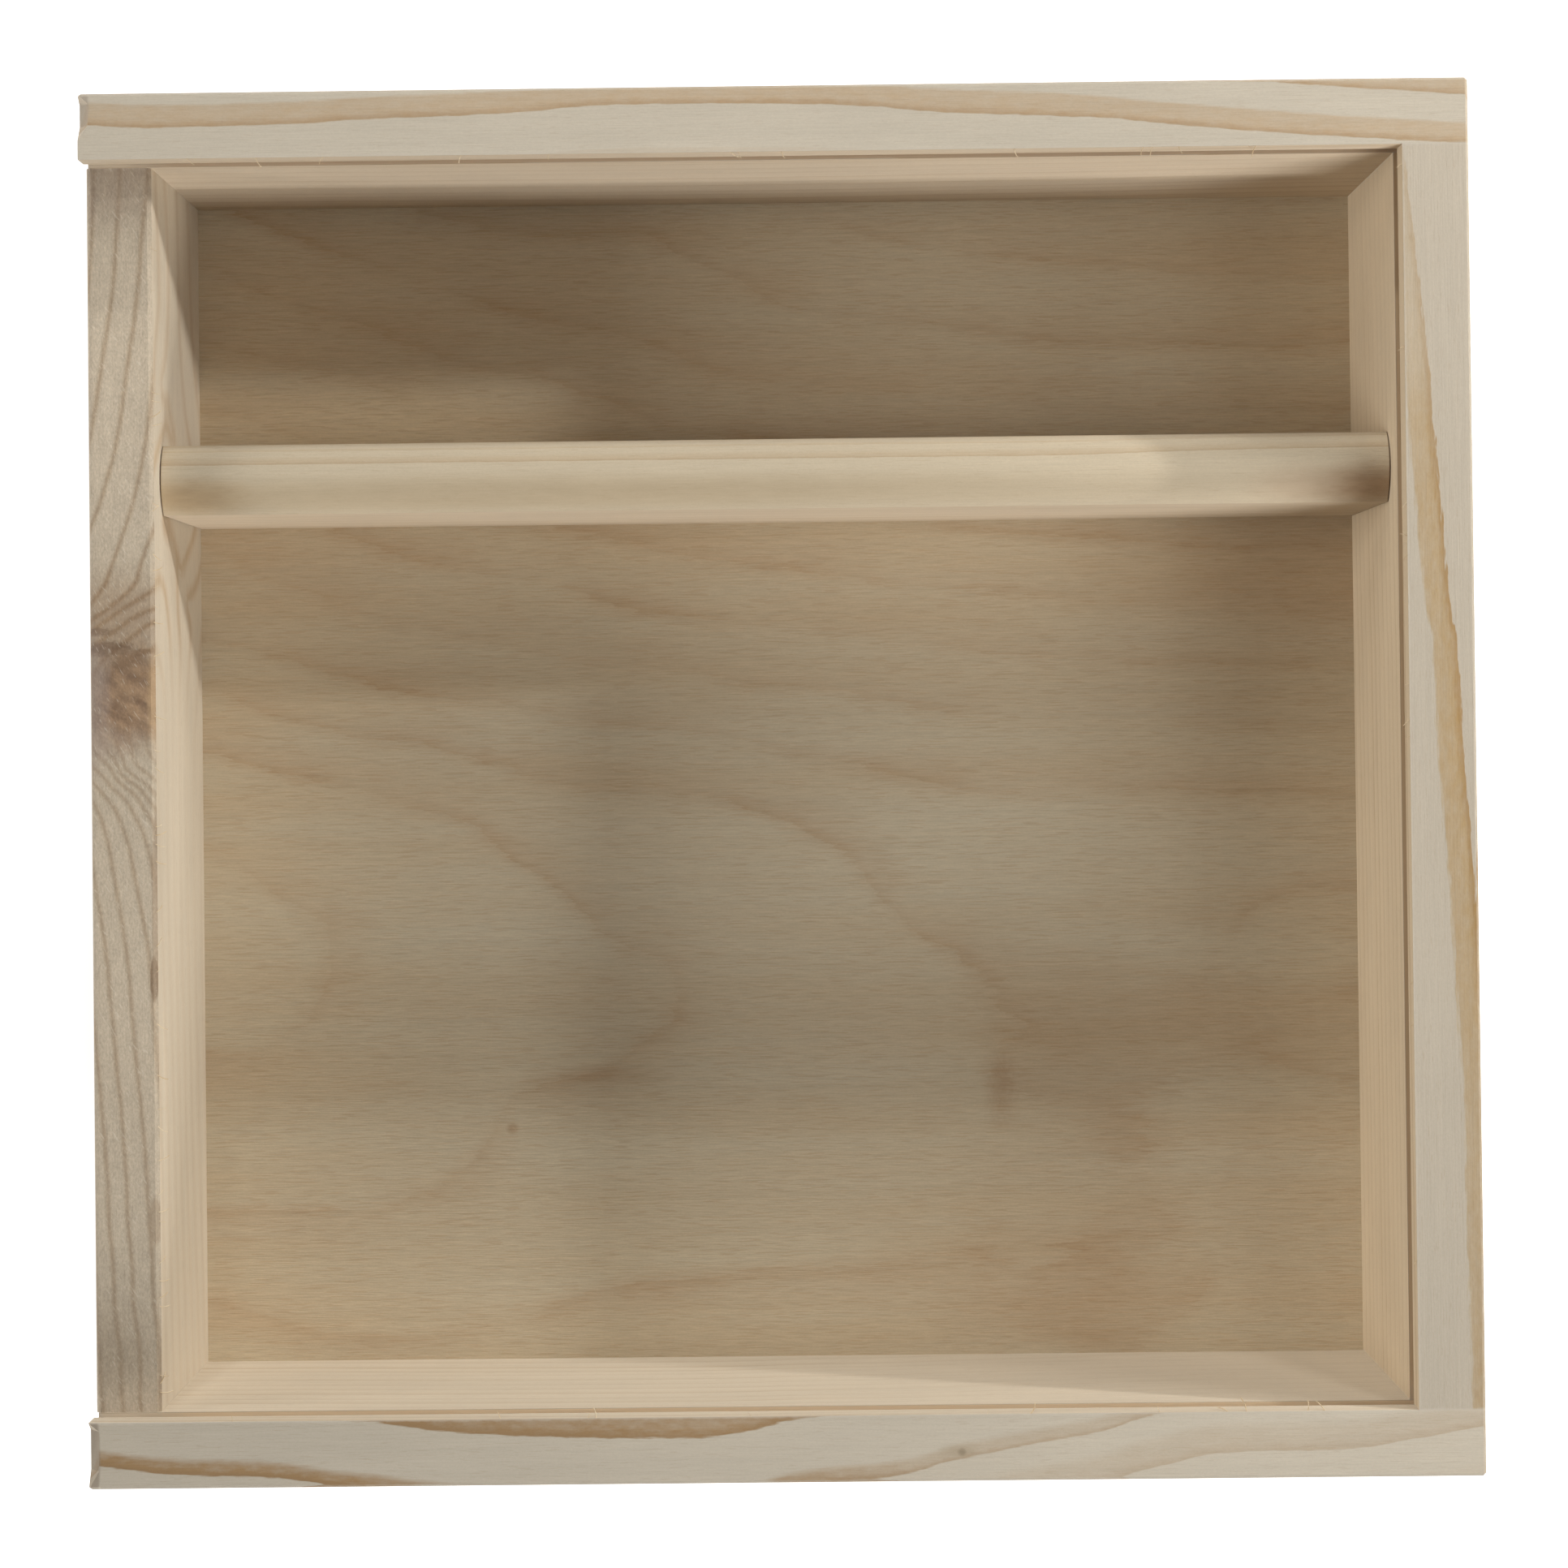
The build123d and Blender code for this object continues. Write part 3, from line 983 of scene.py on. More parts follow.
END_WALL = PineFinish(
    node="right_wall", grain=Grain.ALONG_Y,
    path=((-95, 106.5), (-66, 106.2), (-48, 105.9), (-36, 105.2), (-15, 104.2), (6, 102.8),
          (19, 102.3), (25, 101.2), (48, 99.3), (68, 97.7), (85, 95.8), (95, 94.8)),
    rings=(Ring(0.1, 1.5, 1),), clear=(-3.8, 4), beside=45.0, below=112.0, spacing=3.0,
    tones=PineTones(early=srgb(206, 187, 158), late=srgb(180, 154, 120),
                    top_early=srgb(189, 177, 158), top_late=srgb(174, 143, 94),
                    line=srgb(150, 116, 78)),
    seed=7.7, fray=0.12,
    clearness=((-95, 0.9), (-60, 0.85), (-20, 1), (10, 1), (45, 0.92), (65, 0.5), (95, 0.3)),
    # painted light and shade along the top, darker at the front and lighter at the back
    faces=0.6, light=((-95, 0.95), (0, 1), (95, 1.06)), groove=GROOVE, cut=srgb(204, 178, 142),
)

DIVIDER = PineFinish(
    node="divider", grain=Grain.ALONG_X,
    path=((-95, 50.1), (-46, 50.1), (-8, 50.3), (29, 50.3), (67, 51.1), (95, 51.4)),
    rings=(Ring(-2.1, 0.4, 0.35), Ring(0.05, 1.3, 0.55, 0.8)), clear=(-3.2, 9), beside=-50.0,
    below=60.0, spacing=3.4,
    tones=PineTones(top_early=srgb(197, 182, 156), top_late=srgb(180, 154, 118)), seed=5.5,
    # painted light along the top, strongest towards the end wall
    light=((-95, 0.99), (0, 1), (30, 1.06), (80, 1.1), (95, 1)), edge_wear_and_highlight=0.0, arris_shade=0.0,
    marks=marked(
        # painted shade on the crown's front slope: darker patches at both ends, partly stain and
        # partly shade where the end walls keep the light off, and long tan bands between them
        ((91.8, 44.8, 33), (6.5, 2.6, 5), (142, 106, 72), (162, 126, 90), 0.75, 0.5, 0.8),
        ((82, 45, 33), (7, 2.4, 5), (180, 154, 128), (190, 166, 140), 0.5, 0.5, 0.8),
        ((-89.5, 44.9, 33), (6.5, 2.2, 5), (168, 134, 90), (184, 150, 106), 0.6, 0.5, 0.8),
        ((-50, 45, 33.8), (75, 2.5, 5), (174, 152, 118), (182, 160, 126), 0.5, 0.3, 0.7),
        ((40, 45.2, 33.8), (60, 2.3, 5), (182, 160, 126), (188, 168, 136), 0.2, 0.3, 0.8),
        # the thin dark joints at both ends
        ((-94.95, 47.6, 34), (0.2, 5.3, 8), (92, 62, 40), (108, 78, 52), 0.85, 0.3, 0.5),
        ((94.95, 47.6, 34), (0.2, 5.3, 8), (92, 62, 40), (108, 78, 52), 0.85, 0.3, 0.5),
    ),
)

ENTRY_WALL = PineFinish(
    node="left_wall", grain=Grain.ALONG_Y,
    tones=PineTones(early=srgb(202, 189, 168), late=srgb(180, 150, 112),
                    top_early=srgb(185, 170, 148), top_late=srgb(148, 124, 95),
                    line=srgb(128, 102, 75)),
    seed=2.9, sawn=True, edge_wear_and_highlight=0.15, arris_shade=0.08,
    drawn=((-95, 0.5), (-50, 0.5), (-25, 0.5), (-5, 0.45), (8, 0.42), (18, 0.7), (25, 1),
           (32, 0.8), (45, 0.55), (75, 0.55), (95, 0.55)),
    face_drawn=((-95, 0.16), (-50, 0.16), (0, 0.08), (18, 0.2), (30, 0.5), (48, 0.55), (62, 0.35),
                (95, 0.3)),
    # painted light and shade along the board, on the upright faces and on the top
    painted_face_light=((-95, 1.03), (-30, 1.01), (20, 0.98), (55, 1), (80, 1.07), (95, 1.08)), faces=1.0,
    light=((-95, 1.1), (-86, 1), (-74, 0.93), (-62, 0.96), (-49, 1), (-25, 1.04), (-12, 1.03),
           (0, 1), (12, 0.95), (20, 0.9), (26, 0.94), (37, 1.05), (50, 1.11), (62, 1.12),
           (75, 1.18), (87, 1.14), (95, 1)),
    marks=marked(
        # the knot, with its dark bark above, its mauve side and resin at the inner edge
        ((-100, 26, 39), (9, 5.8, 6), (142, 113, 84), (158, 130, 100), 0.62, 0.4, 0.8, 24),
        ((-98.7, 14, 38), (6.2, 7.4, 11), (112, 79, 51), (158, 124, 90), 0.92, 0.8, 0.45, -36),
        ((-102.2, 21.4, 38.6), (3.6, 1.1, 6), (98, 70, 46), (120, 90, 64), 0.85, 1.4, 0.5, -10),
        ((-103.6, 24, 38.6), (2.2, 0.6, 6), (104, 76, 52), (126, 96, 70), 0.7, 1.2, 0.6, 10),
        ((-99.2, 19.4, 38.6), (2.6, 1.2, 6), (104, 76, 50), (130, 100, 72), 0.7, 1.4, 0.6, -30),
        ((-96.8, 20.9, 38.6), (1.7, 0.45, 6), (108, 80, 54), (128, 98, 70), 0.75, 0.9, 0.4, 14),
        ((-104.4, 12.8, 38), (2.3, 9, 11), (140, 120, 109), (158, 138, 124), 0.7, 1, 0.6, -32),
        ((-102.4, 6.8, 38.6), (4, 2.2, 6), (150, 130, 114), (166, 146, 128), 0.42, 0.8, 0.9, -32),
        ((-95, 14, 38.6), (1, 6.5, 3.2), (182, 148, 106), (194, 160, 118), 0.85, 0.4, 0.6, 90),
        # the torn fibres along the inner edge
        ((-95.1, -17, 39), (0.65, 14, 3), (122, 96, 70), (144, 118, 90), 0.6, 0.7, 0.25, 90),
        ((-95.5, -29, 39), (0.6, 3.4, 3), (112, 86, 60), (130, 104, 78), 0.8, 0.3, 0.15, 90),
        ((-95.6, -66, 39), (0.9, 3.6, 3), (140, 118, 92), (152, 130, 104), 0.6, 0.5, 0.2, 90),
        # stains at both ends
        ((-101.5, 92.6, 39), (8.5, 5.5, 6), (138, 118, 104), (152, 134, 116), 0.5, 0.5, 0.6, 90),
        ((-104.5, -86, 39), (7, 7, 7), (136, 117, 96), (150, 132, 108), 0.35, 0.5, 0.6, 90),
    ),
)


# --------------------------------------------------- figures drawn on the mesh


FigureLine = tuple[float, Curve]  # the number of a year, and where its late wood runs


class Figure:
    """A year number that varies over a face, from one late-wood line to the next."""

    def year_at(self, places: np.ndarray) -> np.ndarray:
        """The year number at each place, which is a row of x and y."""
        raise NotImplementedError

    def pitch_at(self, places: np.ndarray, step: float = 0.3) -> np.ndarray:
        """The millimetres from year to year at some places.

        Args:
            places: rows of x and y.
            step: how far apart the year number is compared.

        Returns:
            One distance for each place.
        """
        slopes = [(self.year_at(places + shift) - self.year_at(places - shift)) / (2 * step)
                  for shift in np.eye(2) * step]
        return 1 / np.maximum(np.hypot(*slopes), 0.02)


class FigureField(Figure):
    """A smooth year number, bent so that it fits drawn lines."""

    def __init__(self, lines: tuple[FigureLine, ...], slack: float = 4.0) -> None:
        """Fit a thin plate through the lines.

        Args:
            lines: the drawn lines.
            slack: how far the plate may leave them, to stay smooth.
        """
        self.places = np.array([point for _, points in lines for point in points])
        years = np.array([year for year, points in lines for _ in points])
        count = len(years)
        flat = np.column_stack([np.ones(count), self.places])
        system = np.zeros((count + 3, count + 3))
        system[:count, :count] = self.bend(self.places) + slack * np.eye(count)
        system[:count, count:] = flat
        system[count:, :count] = flat.T
        self.weights = np.linalg.solve(system, np.concatenate([years, np.zeros(3)]))

    def bend(self, places: np.ndarray) -> np.ndarray:
        """The plate's stiffness: a row for each place, a column for each drawn point."""
        square = ((places[:, None, :] - self.places[None, :, :]) ** 2).sum(axis=2)
        return 0.5 * square * np.log(square + 1e-9)

    def year_at(self, places: np.ndarray) -> np.ndarray:
        """The year number at each place, which is a row of x and y."""
        flat = np.column_stack([np.ones(len(places)), places])
        return np.hstack([self.bend(places), flat]) @ self.weights


class Flames(Figure):
    """The lid veneer: nested flames that open towards the box."""

    def year_at(self, places: np.ndarray) -> np.ndarray:
        """The year number at each place, which is a row of x and y."""
        x, y = places.T
        lean = y - 14.0 - 8.0 * np.sin(x / 47.0)
        return (x + 330.0) / 38.0 + (lean / 24.0) ** 2 / (1 + np.abs(lean) / 60.0)


# The floor veneer, whose lines sweep down to nested tongues
FLOOR_LINES = (
    (0, ((-19, 89), (-2, 80), (18, 75), (45, 72), (95, 71))),
    (1, ((-65, 84), (-42, 77), (-15, 69), (18, 64), (38, 62), (95, 60))),
    (2, ((-89, 83), (-62, 73), (-31, 64), (20, 53), (95, 50))),
    (3, ((-93, 73), (-69, 66), (-38, 57), (10, 43), (95, 37))),
    (4, ((-96, 62), (-70, 52), (-42, 42), (-2, 35), (19, 32), (62, 28), (94, 26))),
    (5, ((-96, 53), (-70, 41), (-42, 34), (-16, 27), (20, 23), (38, 20), (94, 17))),
    (6, ((-96, 40), (-65, 26), (-32, 19), (0, 15), (58, 9), (94, 7))),
    (7, ((-96, 24), (-69, 17), (-32, 10), (0, 4), (57, -3), (94, -5))),
    (8, ((-96, 16), (-69, 7), (-36, -1), (-11, -3), (8, -11), (18, -22), (30, -30), (38, -37),
     (36, -46), (38, -54), (38, -61), (47, -65), (61, -67), (61, -74), (69, -81), (66, -86),
     (50, -84), (30, -79), (-3, -81), (-30, -84), (-97, -85))),
    (9, ((-96, 6), (-70, -1), (-52, -7), (-39, -16), (-30, -25), (-18, -33), (-22, -44),
     (-37, -50), (-46, -53), (-53, -64), (-70, -70), (-97, -70))),
    (10, ((-96, -10), (-84, -18), (-75, -31), (-79, -39), (-97, -44))),
    (8, ((94, -19), (83, -20), (77, -32), (78, -46), (94, -51))),
    (8.5, ((94, -58), (88, -62), (88, -78), (94, -90))),
)

# The rings on the entry wall's top, which crowd around a knot
TOP_LINES = (
    (1, ((-103.7, 95.9), (-104.1, 84.7), (-104.8, 76))),
    (2, ((-99.7, 93.8), (-100.3, 85.3), (-101, 76), (-102.1, 68.9), (-103.1, 62.3), (-104.8, 53))),
    (3, ((-95.5, 93.7), (-96.3, 85.9), (-97, 77.8), (-98.1, 68.9), (-99.2, 62.3), (-100.3, 54.6),
     (-101.9, 48), (-103.9, 41.8), (-105, 39.4))),
    (4, ((-95.3, 58.9), (-96.3, 51.7), (-97.4, 46.5), (-98.7, 41.8), (-100.3, 37.2), (-101.9, 33),
     (-102.5, 31.3), (-103.7, 29.8), (-105, 28.1))),
    (5, ((-95.7, 37.8), (-97.1, 34.3), (-98.2, 30.7), (-100.2, 28.6), (-102.3, 26.9),
     (-104.7, 25.2))),
    (6, ((-95.4, 30.1), (-97.3, 29.1), (-99.5, 27.9), (-101.4, 26.7), (-103, 25.6),
     (-104.5, 24.5))),
    (7, ((-95.4, 27.2), (-98.6, 25.7), (-100.5, 24.4), (-102.1, 23.2), (-103.6, 22.5))),
    (8, ((-95.4, 25.4), (-97.1, 24.4), (-98, 23.5), (-99.3, 22.6), (-100.2, 21.8))),
    (9, ((-95.4, 21.1), (-98.4, 20.1))),
    (10, ((-99.9, 2.7), (-97.7, 1.5), (-95.6, -0.4))),
    (9, ((-102.5, 5.9), (-101, 4.2), (-99.3, 1.5), (-97.4, 0), (-95.8, -2.3))),
    (8, ((-104.4, 5.9), (-102.8, 4.2), (-101.3, 2.7), (-98, -1), (-96.8, -3.1), (-95.6, -5))),
    (7, ((-104.9, 3.4), (-102.4, 0.9), (-100.3, -1), (-98.9, -2.9), (-96.9, -6.9),
     (-95.7, -11.8))),
    (6, ((-104.9, 1.3), (-102.4, -1.6), (-100.3, -5.6), (-98.9, -10.5), (-97.6, -17.4),
     (-96.4, -23.9), (-95.9, -29.8))),
    (5, ((-104.7, -1.8), (-103.5, -4.3), (-102, -10.3), (-101, -16.5), (-99.9, -23.9),
     (-99.2, -31), (-98.3, -42.1), (-97.3, -53), (-96.7, -63.1), (-96.2, -71.5), (-95.5, -82.3),
     (-95.2, -90.1))),
    (4, ((-105.1, -10.2), (-104, -17.3), (-102.9, -24.1), (-102.3, -31.3), (-101.3, -43.1),
     (-100.4, -53.8), (-99.9, -65.3), (-99.2, -77.7), (-98.3, -93.1))),
    (3, ((-105.1, -33.1), (-104.1, -43.7), (-103.3, -53.8), (-102.8, -65.3), (-102, -76.4),
     (-101.1, -86.9), (-100.8, -94))),
    (2, ((-105.2, -65.3), (-104.9, -79.1), (-104.3, -90))),
)

# The rings on the entry wall's upright faces: the distance along, and the height
FACE_LINES = (
    (0, ((95, 36), (75, 34), (62, 38))),
    (1, ((95, 29), (75, 27), (62.7, 33), (61, 28.6), (58.1, 25.7), (54.9, 22.8))),
    (2, ((95, 20), (72.5, 18.6), (63.7, 16.1), (60, 14.7), (56.1, 11.6))),
    (2, ((41.6, 32.4), (40, 28), (37.8, 23.5), (36, 20.5), (34.7, 17.4), (37.1, 14.1), (39.7, 9.8),
     (41.9, 7.4))),
    (1, ((30.8, 38.7), (32.4, 35.7), (30.6, 31.4), (27.9, 29.7), (24.1, 28.3), (16.5, 26.5),
     (-3.9, 26.2), (-29.4, 24.8), (-55.1, 23.4), (-81.2, 20.8), (-93, 19.4))),
    (2, ((22, 20), (14.5, 21), (-3.9, 21.6), (-29, 20.6), (-55, 18.8), (-93, 14.6))),
    (0, ((14, 32), (-4, 31.2), (-29, 29.4), (-55, 27.6), (-93, 24.6))),
    (-1, ((-29, 34.5), (-55, 32.2), (-93, 29.6))),
    (3, ((30.2, 14.7), (25.6, 11.7), (14, 15), (-4, 16.5), (-29, 15.6), (-93, 10))),
    (4, ((24, 3), (-4, 10.5), (-50, 9), (-93, 5))),
)

# The red-brown spots on the floor veneer's lines, painted shade in two back corners of the large
# compartment, and painted light behind the divider
FLOOR_SPOTS_AND_PAINTED_SHADING = marked(
    ((-30, -48.6, 2.7), (8, 1.3, 3), (156, 120, 86), (172, 138, 104), 0.32, 1.2, 0.9),
    ((36, -51.5, 2.7), (2, 4, 3), (156, 120, 86), (172, 138, 104), 0.4, 1.2, 0.9),
    ((-44.5, -57.2, 2.7), (0.9, 0.8, 3), (156, 120, 86), (172, 138, 104), 0.5, 0.4, 0.6),
    # painted shade in the large compartment's back corners
    ((90, 34, 2.7), (28, 13, 3), (156, 120, 86), (172, 138, 104), 0.3, 0.5, 0.9),
    ((-80, 36, 2.7), (24, 9, 3), (156, 120, 86), (172, 138, 104), 0.14, 0.5, 0.9),
    # painted light in the small compartment, behind the divider
    ((-66, 58, 2.7), (27, 7, 3), (226, 203, 162), (230, 207, 168), 0.5, 0.5, 0.9),
)


# -------------------------------------------------------------- sub-assemblies


def dress(node: bpy.types.Object, material: bpy.types.Material) -> None:
    """Put a material in every slot of a CAD node.

    Args:
        node: the node's object.
        material: its finish.
    """
    for slot in node.material_slots:
        slot.material = material
    log.info("%s: dressed in %s", node.name, material.name)


def add_object(name: str, data: bpy.types.ID) -> bpy.types.Object:
    """A new object in the scene, which shows this data."""
    made = bpy.data.objects.new(name, data)
    bpy.context.scene.collection.objects.link(made)
    return made


def read(items: bpy.types.bpy_prop_collection, field: str, width: int = 1,
         kind: type = float) -> np.ndarray:
    """One field of every item in a collection.

    Args:
        items: the collection.
        field: the field's name.
        width: how many numbers the field holds.
        kind: what the numbers are.

    Returns:
        One number for each item, or one row where the field holds several.
    """
    values = np.empty(len(items) * width, dtype=kind)
    items.foreach_get(field, values)
    return values if width == 1 else values.reshape(-1, width)


@dataclass
class Carcass:
    """The four boards and the divider."""

    effects: Effects
    boards: tuple[PineFinish, ...] = (BACK_RAIL, FRONT_RAIL, END_WALL, DIVIDER)
    entry_wall: PineFinish = ENTRY_WALL
    top_slack: float = 2.0  # how far the rings on the entry wall's top may leave their lines
    face_slack: float = 1.5  # the same on its upright faces

    def build(self) -> None:
        """Dress each board, and give the entry wall its drawn rings."""
        RingedBoard(self.effects, "left_wall", "box", "pine", self.entry_wall,
                    FigureField(TOP_LINES, self.top_slack),
                    FigureField(FACE_LINES, self.face_slack)).build()
        for finish in self.boards:
            dress(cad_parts[finish.node], PineCoat(finish, self.effects).build())


@dataclass
class GriddedPiece:
    """A wooden piece, cut into a grid so that its mesh can carry the figure of its wood."""

    YEAR = "wood_year"
    PITCH = "wood_pitch"

    effects: Effects
    node: str
    body: str
    slot: str

    def gridded(self, spacing: tuple[float, ...]) -> bpy.types.Mesh:
        """Copy the CAD node's mesh and cut it along evenly spaced planes.

        Args:
            spacing: millimetres between the cuts across X, Y and so on.

        Returns:
            The cut copy, with the same shape.
        """
        cut = bmesh.new()
        cut.from_mesh(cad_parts[self.node].data)
        bmesh.ops.remove_doubles(cut, verts=cut.verts, dist=0.01 * MM)
        low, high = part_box(self.node)
        for axis, step in enumerate(spacing):
            normal = Vector([float(index == axis) for index in range(3)])
            count = int((high[axis] - low[axis]) / (step * MM))
            for place in np.linspace(low[axis], high[axis], count + 1)[1:-1]:
                bmesh.ops.bisect_plane(
                    cut, geom=[*cut.verts, *cut.edges, *cut.faces], dist=0.001 * MM,
                    plane_co=normal * float(place), plane_no=normal)
        mesh = bpy.data.meshes.new(f"{self.node}_figured")
        cut.to_mesh(mesh)
        cut.free()
        return mesh

    def stand_in(self, mesh: bpy.types.Mesh, domain: str, years: np.ndarray,
                 pitches: np.ndarray, material: bpy.types.Material) -> None:
        """Put a dressed mesh in the CAD node's place, with its figure.

        Args:
            mesh: the cut mesh.
            domain: what carries the figure, the mesh's points or its corners.
            years: the year number at each.
            pitches: the millimetres from year to year at each.
            material: the finish.
        """
        for name, values in ((self.YEAR, years), (self.PITCH, pitches)):
            mesh.attributes.new(name, "FLOAT", domain).data.foreach_set("value", values)
        mesh.materials.clear()
        mesh.materials.append(material)
        piece = add_object(mesh.name, mesh)
        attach(piece, self.body)
        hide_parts(self.node)
        log.info("%s: %d faces with the wood's figure drawn", piece.name, len(mesh.polygons))


@dataclass
class VeneeredPanel(GriddedPiece):
    """A plywood panel that carries its veneer's figure."""

    figure: Figure
    seed: float
    marks: tuple[Mark, ...] = ()
    spacing: float = 1.9

    def build(self) -> None:
        """Make the panel in place of its CAD node."""
        mesh = self.gridded((self.spacing, self.spacing))
        flat = read(mesh.vertices, "co", 3)[:, :2] / MM
        low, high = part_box(self.node)
        finish = PlywoodFinish(f"plywood_{self.node}", low[2] / MM, (high[2] - low[2]) / MM,
                               self.seed, self.marks)
        self.stand_in(mesh, "POINT", self.figure.year_at(flat), self.figure.pitch_at(flat),
                      finish.material(self.effects))


@dataclass
class RingedBoard(GriddedPiece):
    """A pine board whose rings are drawn on its top and on its upright faces."""

    finish: PineFinish
    top: Figure
    face: Figure
    face_width: float = 2.8  # how much wider the rings are cut on the upright faces
    spacing: tuple[float, ...] = (1.0, 1.0, 2.2)

    def build(self) -> None:
        """Make the board in place of its CAD node."""
        mesh = self.gridded(self.spacing)
        corners = read(mesh.loops, "vertex_index", kind=np.int32)
        places = read(mesh.vertices, "co", 3)[corners] / MM
        upward = np.repeat(read(mesh.polygons, "normal", 3)[:, 2] > 0.5,
                           read(mesh.polygons, "loop_total", kind=np.int32))
        years, pitches = np.zeros(len(corners)), np.ones(len(corners))
        for chosen, figure, axes, width in ((upward, self.top, (0, 1), 1.0),
                                            (~upward, self.face, (1, 2), self.face_width)):
            flat = places[chosen][:, axes]
            years[chosen] = figure.year_at(flat)
            pitches[chosen] = figure.pitch_at(flat) / width
        self.stand_in(mesh, "CORNER", years, pitches,
                      PineCoat(self.finish, self.effects).build())


@dataclass(frozen=True)
class TornEdge:
    """A cut edge along which fibres stand."""

    start: Place
    finish: Place
    facing: float  # degrees from +X to the way that the fibres point
    share: float  # the share of places that carry a fibre
    size: float = 1.0  # how long its fibres are beside the usual ones


@dataclass
class TornFibres:
    """The fine slivers that the saw and the groover left along the boards' edges."""

    effects: Effects
    spacing: float = 1.3
    length: float = 1.3
    thickness: float = 0.09
    seed: int = 11
    root: float = 0.12  # how far inside the wood a fibre starts
    edges: tuple[TornEdge, ...] = (
        TornEdge((-95.0, 92.0, 39.1), (-95.0, -92.0, 39.1), 0.0, 0.32),
        TornEdge((-92.0, -95.0, 46.0), (90.0, -95.0, 46.0), 90.0, 0.1, 1.2),
        TornEdge((-92.0, 95.0, 46.0), (90.0, 95.0, 46.0), -90.0, 0.14),
        TornEdge((95.0, 92.0, 46.0), (95.0, -92.0, 46.0), 180.0, 0.1, 0.8),
    )

    def wires(self) -> bpy.types.Mesh:
        """Lay a wire just inside each torn edge.

        Returns:
            The wires, whose points carry how fibres face, how many stand and how long they are.
        """
        mesh = bpy.data.meshes.new("torn_edges")
        points = []
        for edge in self.edges:
            turn = math.radians(edge.facing)
            inward = Vector((-math.cos(turn), -math.sin(turn), -1.0)) * self.root
            points += [(Vector(end) + inward) * MM for end in (edge.start, edge.finish)]
        mesh.from_pydata(points, [(2 * i, 2 * i + 1) for i in range(len(self.edges))], [])
        for name, values in (("facing", [math.radians(edge.facing) for edge in self.edges]),
                             ("share", [edge.share for edge in self.edges]),
                             ("size", [edge.size for edge in self.edges])):
            layer = mesh.attributes.new(name, "FLOAT", "POINT")
            layer.data.foreach_set("value", np.repeat(values, 2))
        return mesh

    def growing_tree(self) -> bpy.types.NodeTree:
        """The node tree that stands bent, tapered slivers along the wires.

        Returns:
            The Geometry Nodes group.
        """
        tree = bpy.data.node_groups.new("grow_torn_fibres", "GeometryNodeTree")
        for name, kind in (("Wires", "Geometry"), ("Spacing", "Float"), ("Length", "Float"),
                           ("Thickness", "Float"), ("Seed", "Int"), ("Finish", "Material")):
            tree.interface.new_socket(name=name, in_out="INPUT", socket_type=f"NodeSocket{kind}")
        tree.interface.new_socket(name="Fibres", in_out="OUTPUT",
                                  socket_type="NodeSocketGeometry")
        graph = Graph(tree)
        given = graph.add("NodeGroupInput").outputs

        def named(name: str) -> Socket:
            """A number that the wires carry."""
            return graph.add("GeometryNodeInputNamedAttribute", {"Name": name},
                             data_type="FLOAT").outputs["Attribute"]

        def chance(low: float, high: float, shift: int) -> Socket:
            """A random number for each fibre."""
            seed = graph.math("ADD", given["Seed"], shift)
            return graph.add("FunctionNodeRandomValue", {2: low, 3: high, "Seed": seed},
                             data_type="FLOAT").outputs[1]

        # One sliver: a curve that bends down, thinner towards its tip
        length = given["Length"]
        bend = graph.add("GeometryNodeCurveQuadraticBezier", {
            "Resolution": 4, "Start": ORIGIN,
            "Middle": graph.join(graph.math("MULTIPLY", length, 0.6), 0.0, 0.0),
            "End": graph.join(length, graph.math("MULTIPLY", length, 0.25),
                              graph.math("MULTIPLY", length, -0.3))})
        tip = graph.add("GeometryNodeSplineParameter").outputs["Factor"]
        taper = graph.add("GeometryNodeSetCurveRadius", {
            "Curve": bend, "Radius": graph.math("MULTIPLY_ADD", tip, -0.7, 1.0)})
        ring = graph.add("GeometryNodeCurvePrimitiveCircle", {
            "Resolution": 4, "Radius": graph.math("MULTIPLY", given["Thickness"], 0.5)})
        sliver = graph.add("GeometryNodeCurveToMesh", {
            "Curve": taper, "Profile Curve": ring, "Fill Caps": True})

        # Where they stand
        wires = graph.add("GeometryNodeMeshToCurve", {"Mesh": given["Wires"]})
        places = graph.add("GeometryNodeResampleCurve", {
            "Curve": wires, "Length": given["Spacing"]}, mode="LENGTH")
        size = graph.math("MULTIPLY", named("size"), chance(0.5, 1.5, 3))
        turned = graph.math("ADD", named("facing"), chance(-1.0, 1.0, 2))
        stand = graph.add("GeometryNodeInstanceOnPoints", {
            "Points": places, "Instance": sliver, "Scale": graph.join(size, size, size),
            "Rotation": graph.join(0.0, chance(0.0, 0.6, 1), turned),
            "Selection": graph.math("LESS_THAN", chance(0.0, 1.0, 0), named("share"))})
        solid = graph.add("GeometryNodeRealizeInstances", (stand,))
        finish = graph.add("GeometryNodeSetMaterial", {
            "Geometry": solid, "Material": given["Finish"]})
        graph.add("NodeGroupOutput", (finish,))
        return tree

    def build(self) -> None:
        """Grow the fibres."""
        grower = add_object("torn_edges", self.wires())
        modifier = grower.modifiers.new("fibres", "NODES")
        modifier.node_group = self.growing_tree()
        values = {"Spacing": self.spacing * MM, "Length": self.length * MM,
                  "Thickness": self.thickness * MM, "Seed": self.seed,
                  "Finish": FIBRE.material(self.effects)}
        for item in modifier.node_group.interface.items_tree:
            if item.in_out == "INPUT" and item.name in values:
                modifier[item.identifier] = values[item.name]
        grown = grower.evaluated_get(bpy.context.evaluated_depsgraph_get())
        mesh = bpy.data.meshes.new_from_object(grown)
        mesh.name = "torn_fibres"
        bpy.data.objects.remove(grower)
        fibres = add_object("torn_fibres", mesh)
        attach(fibres, "box")
        log.info("%s: %d faces", fibres.name, len(mesh.polygons))


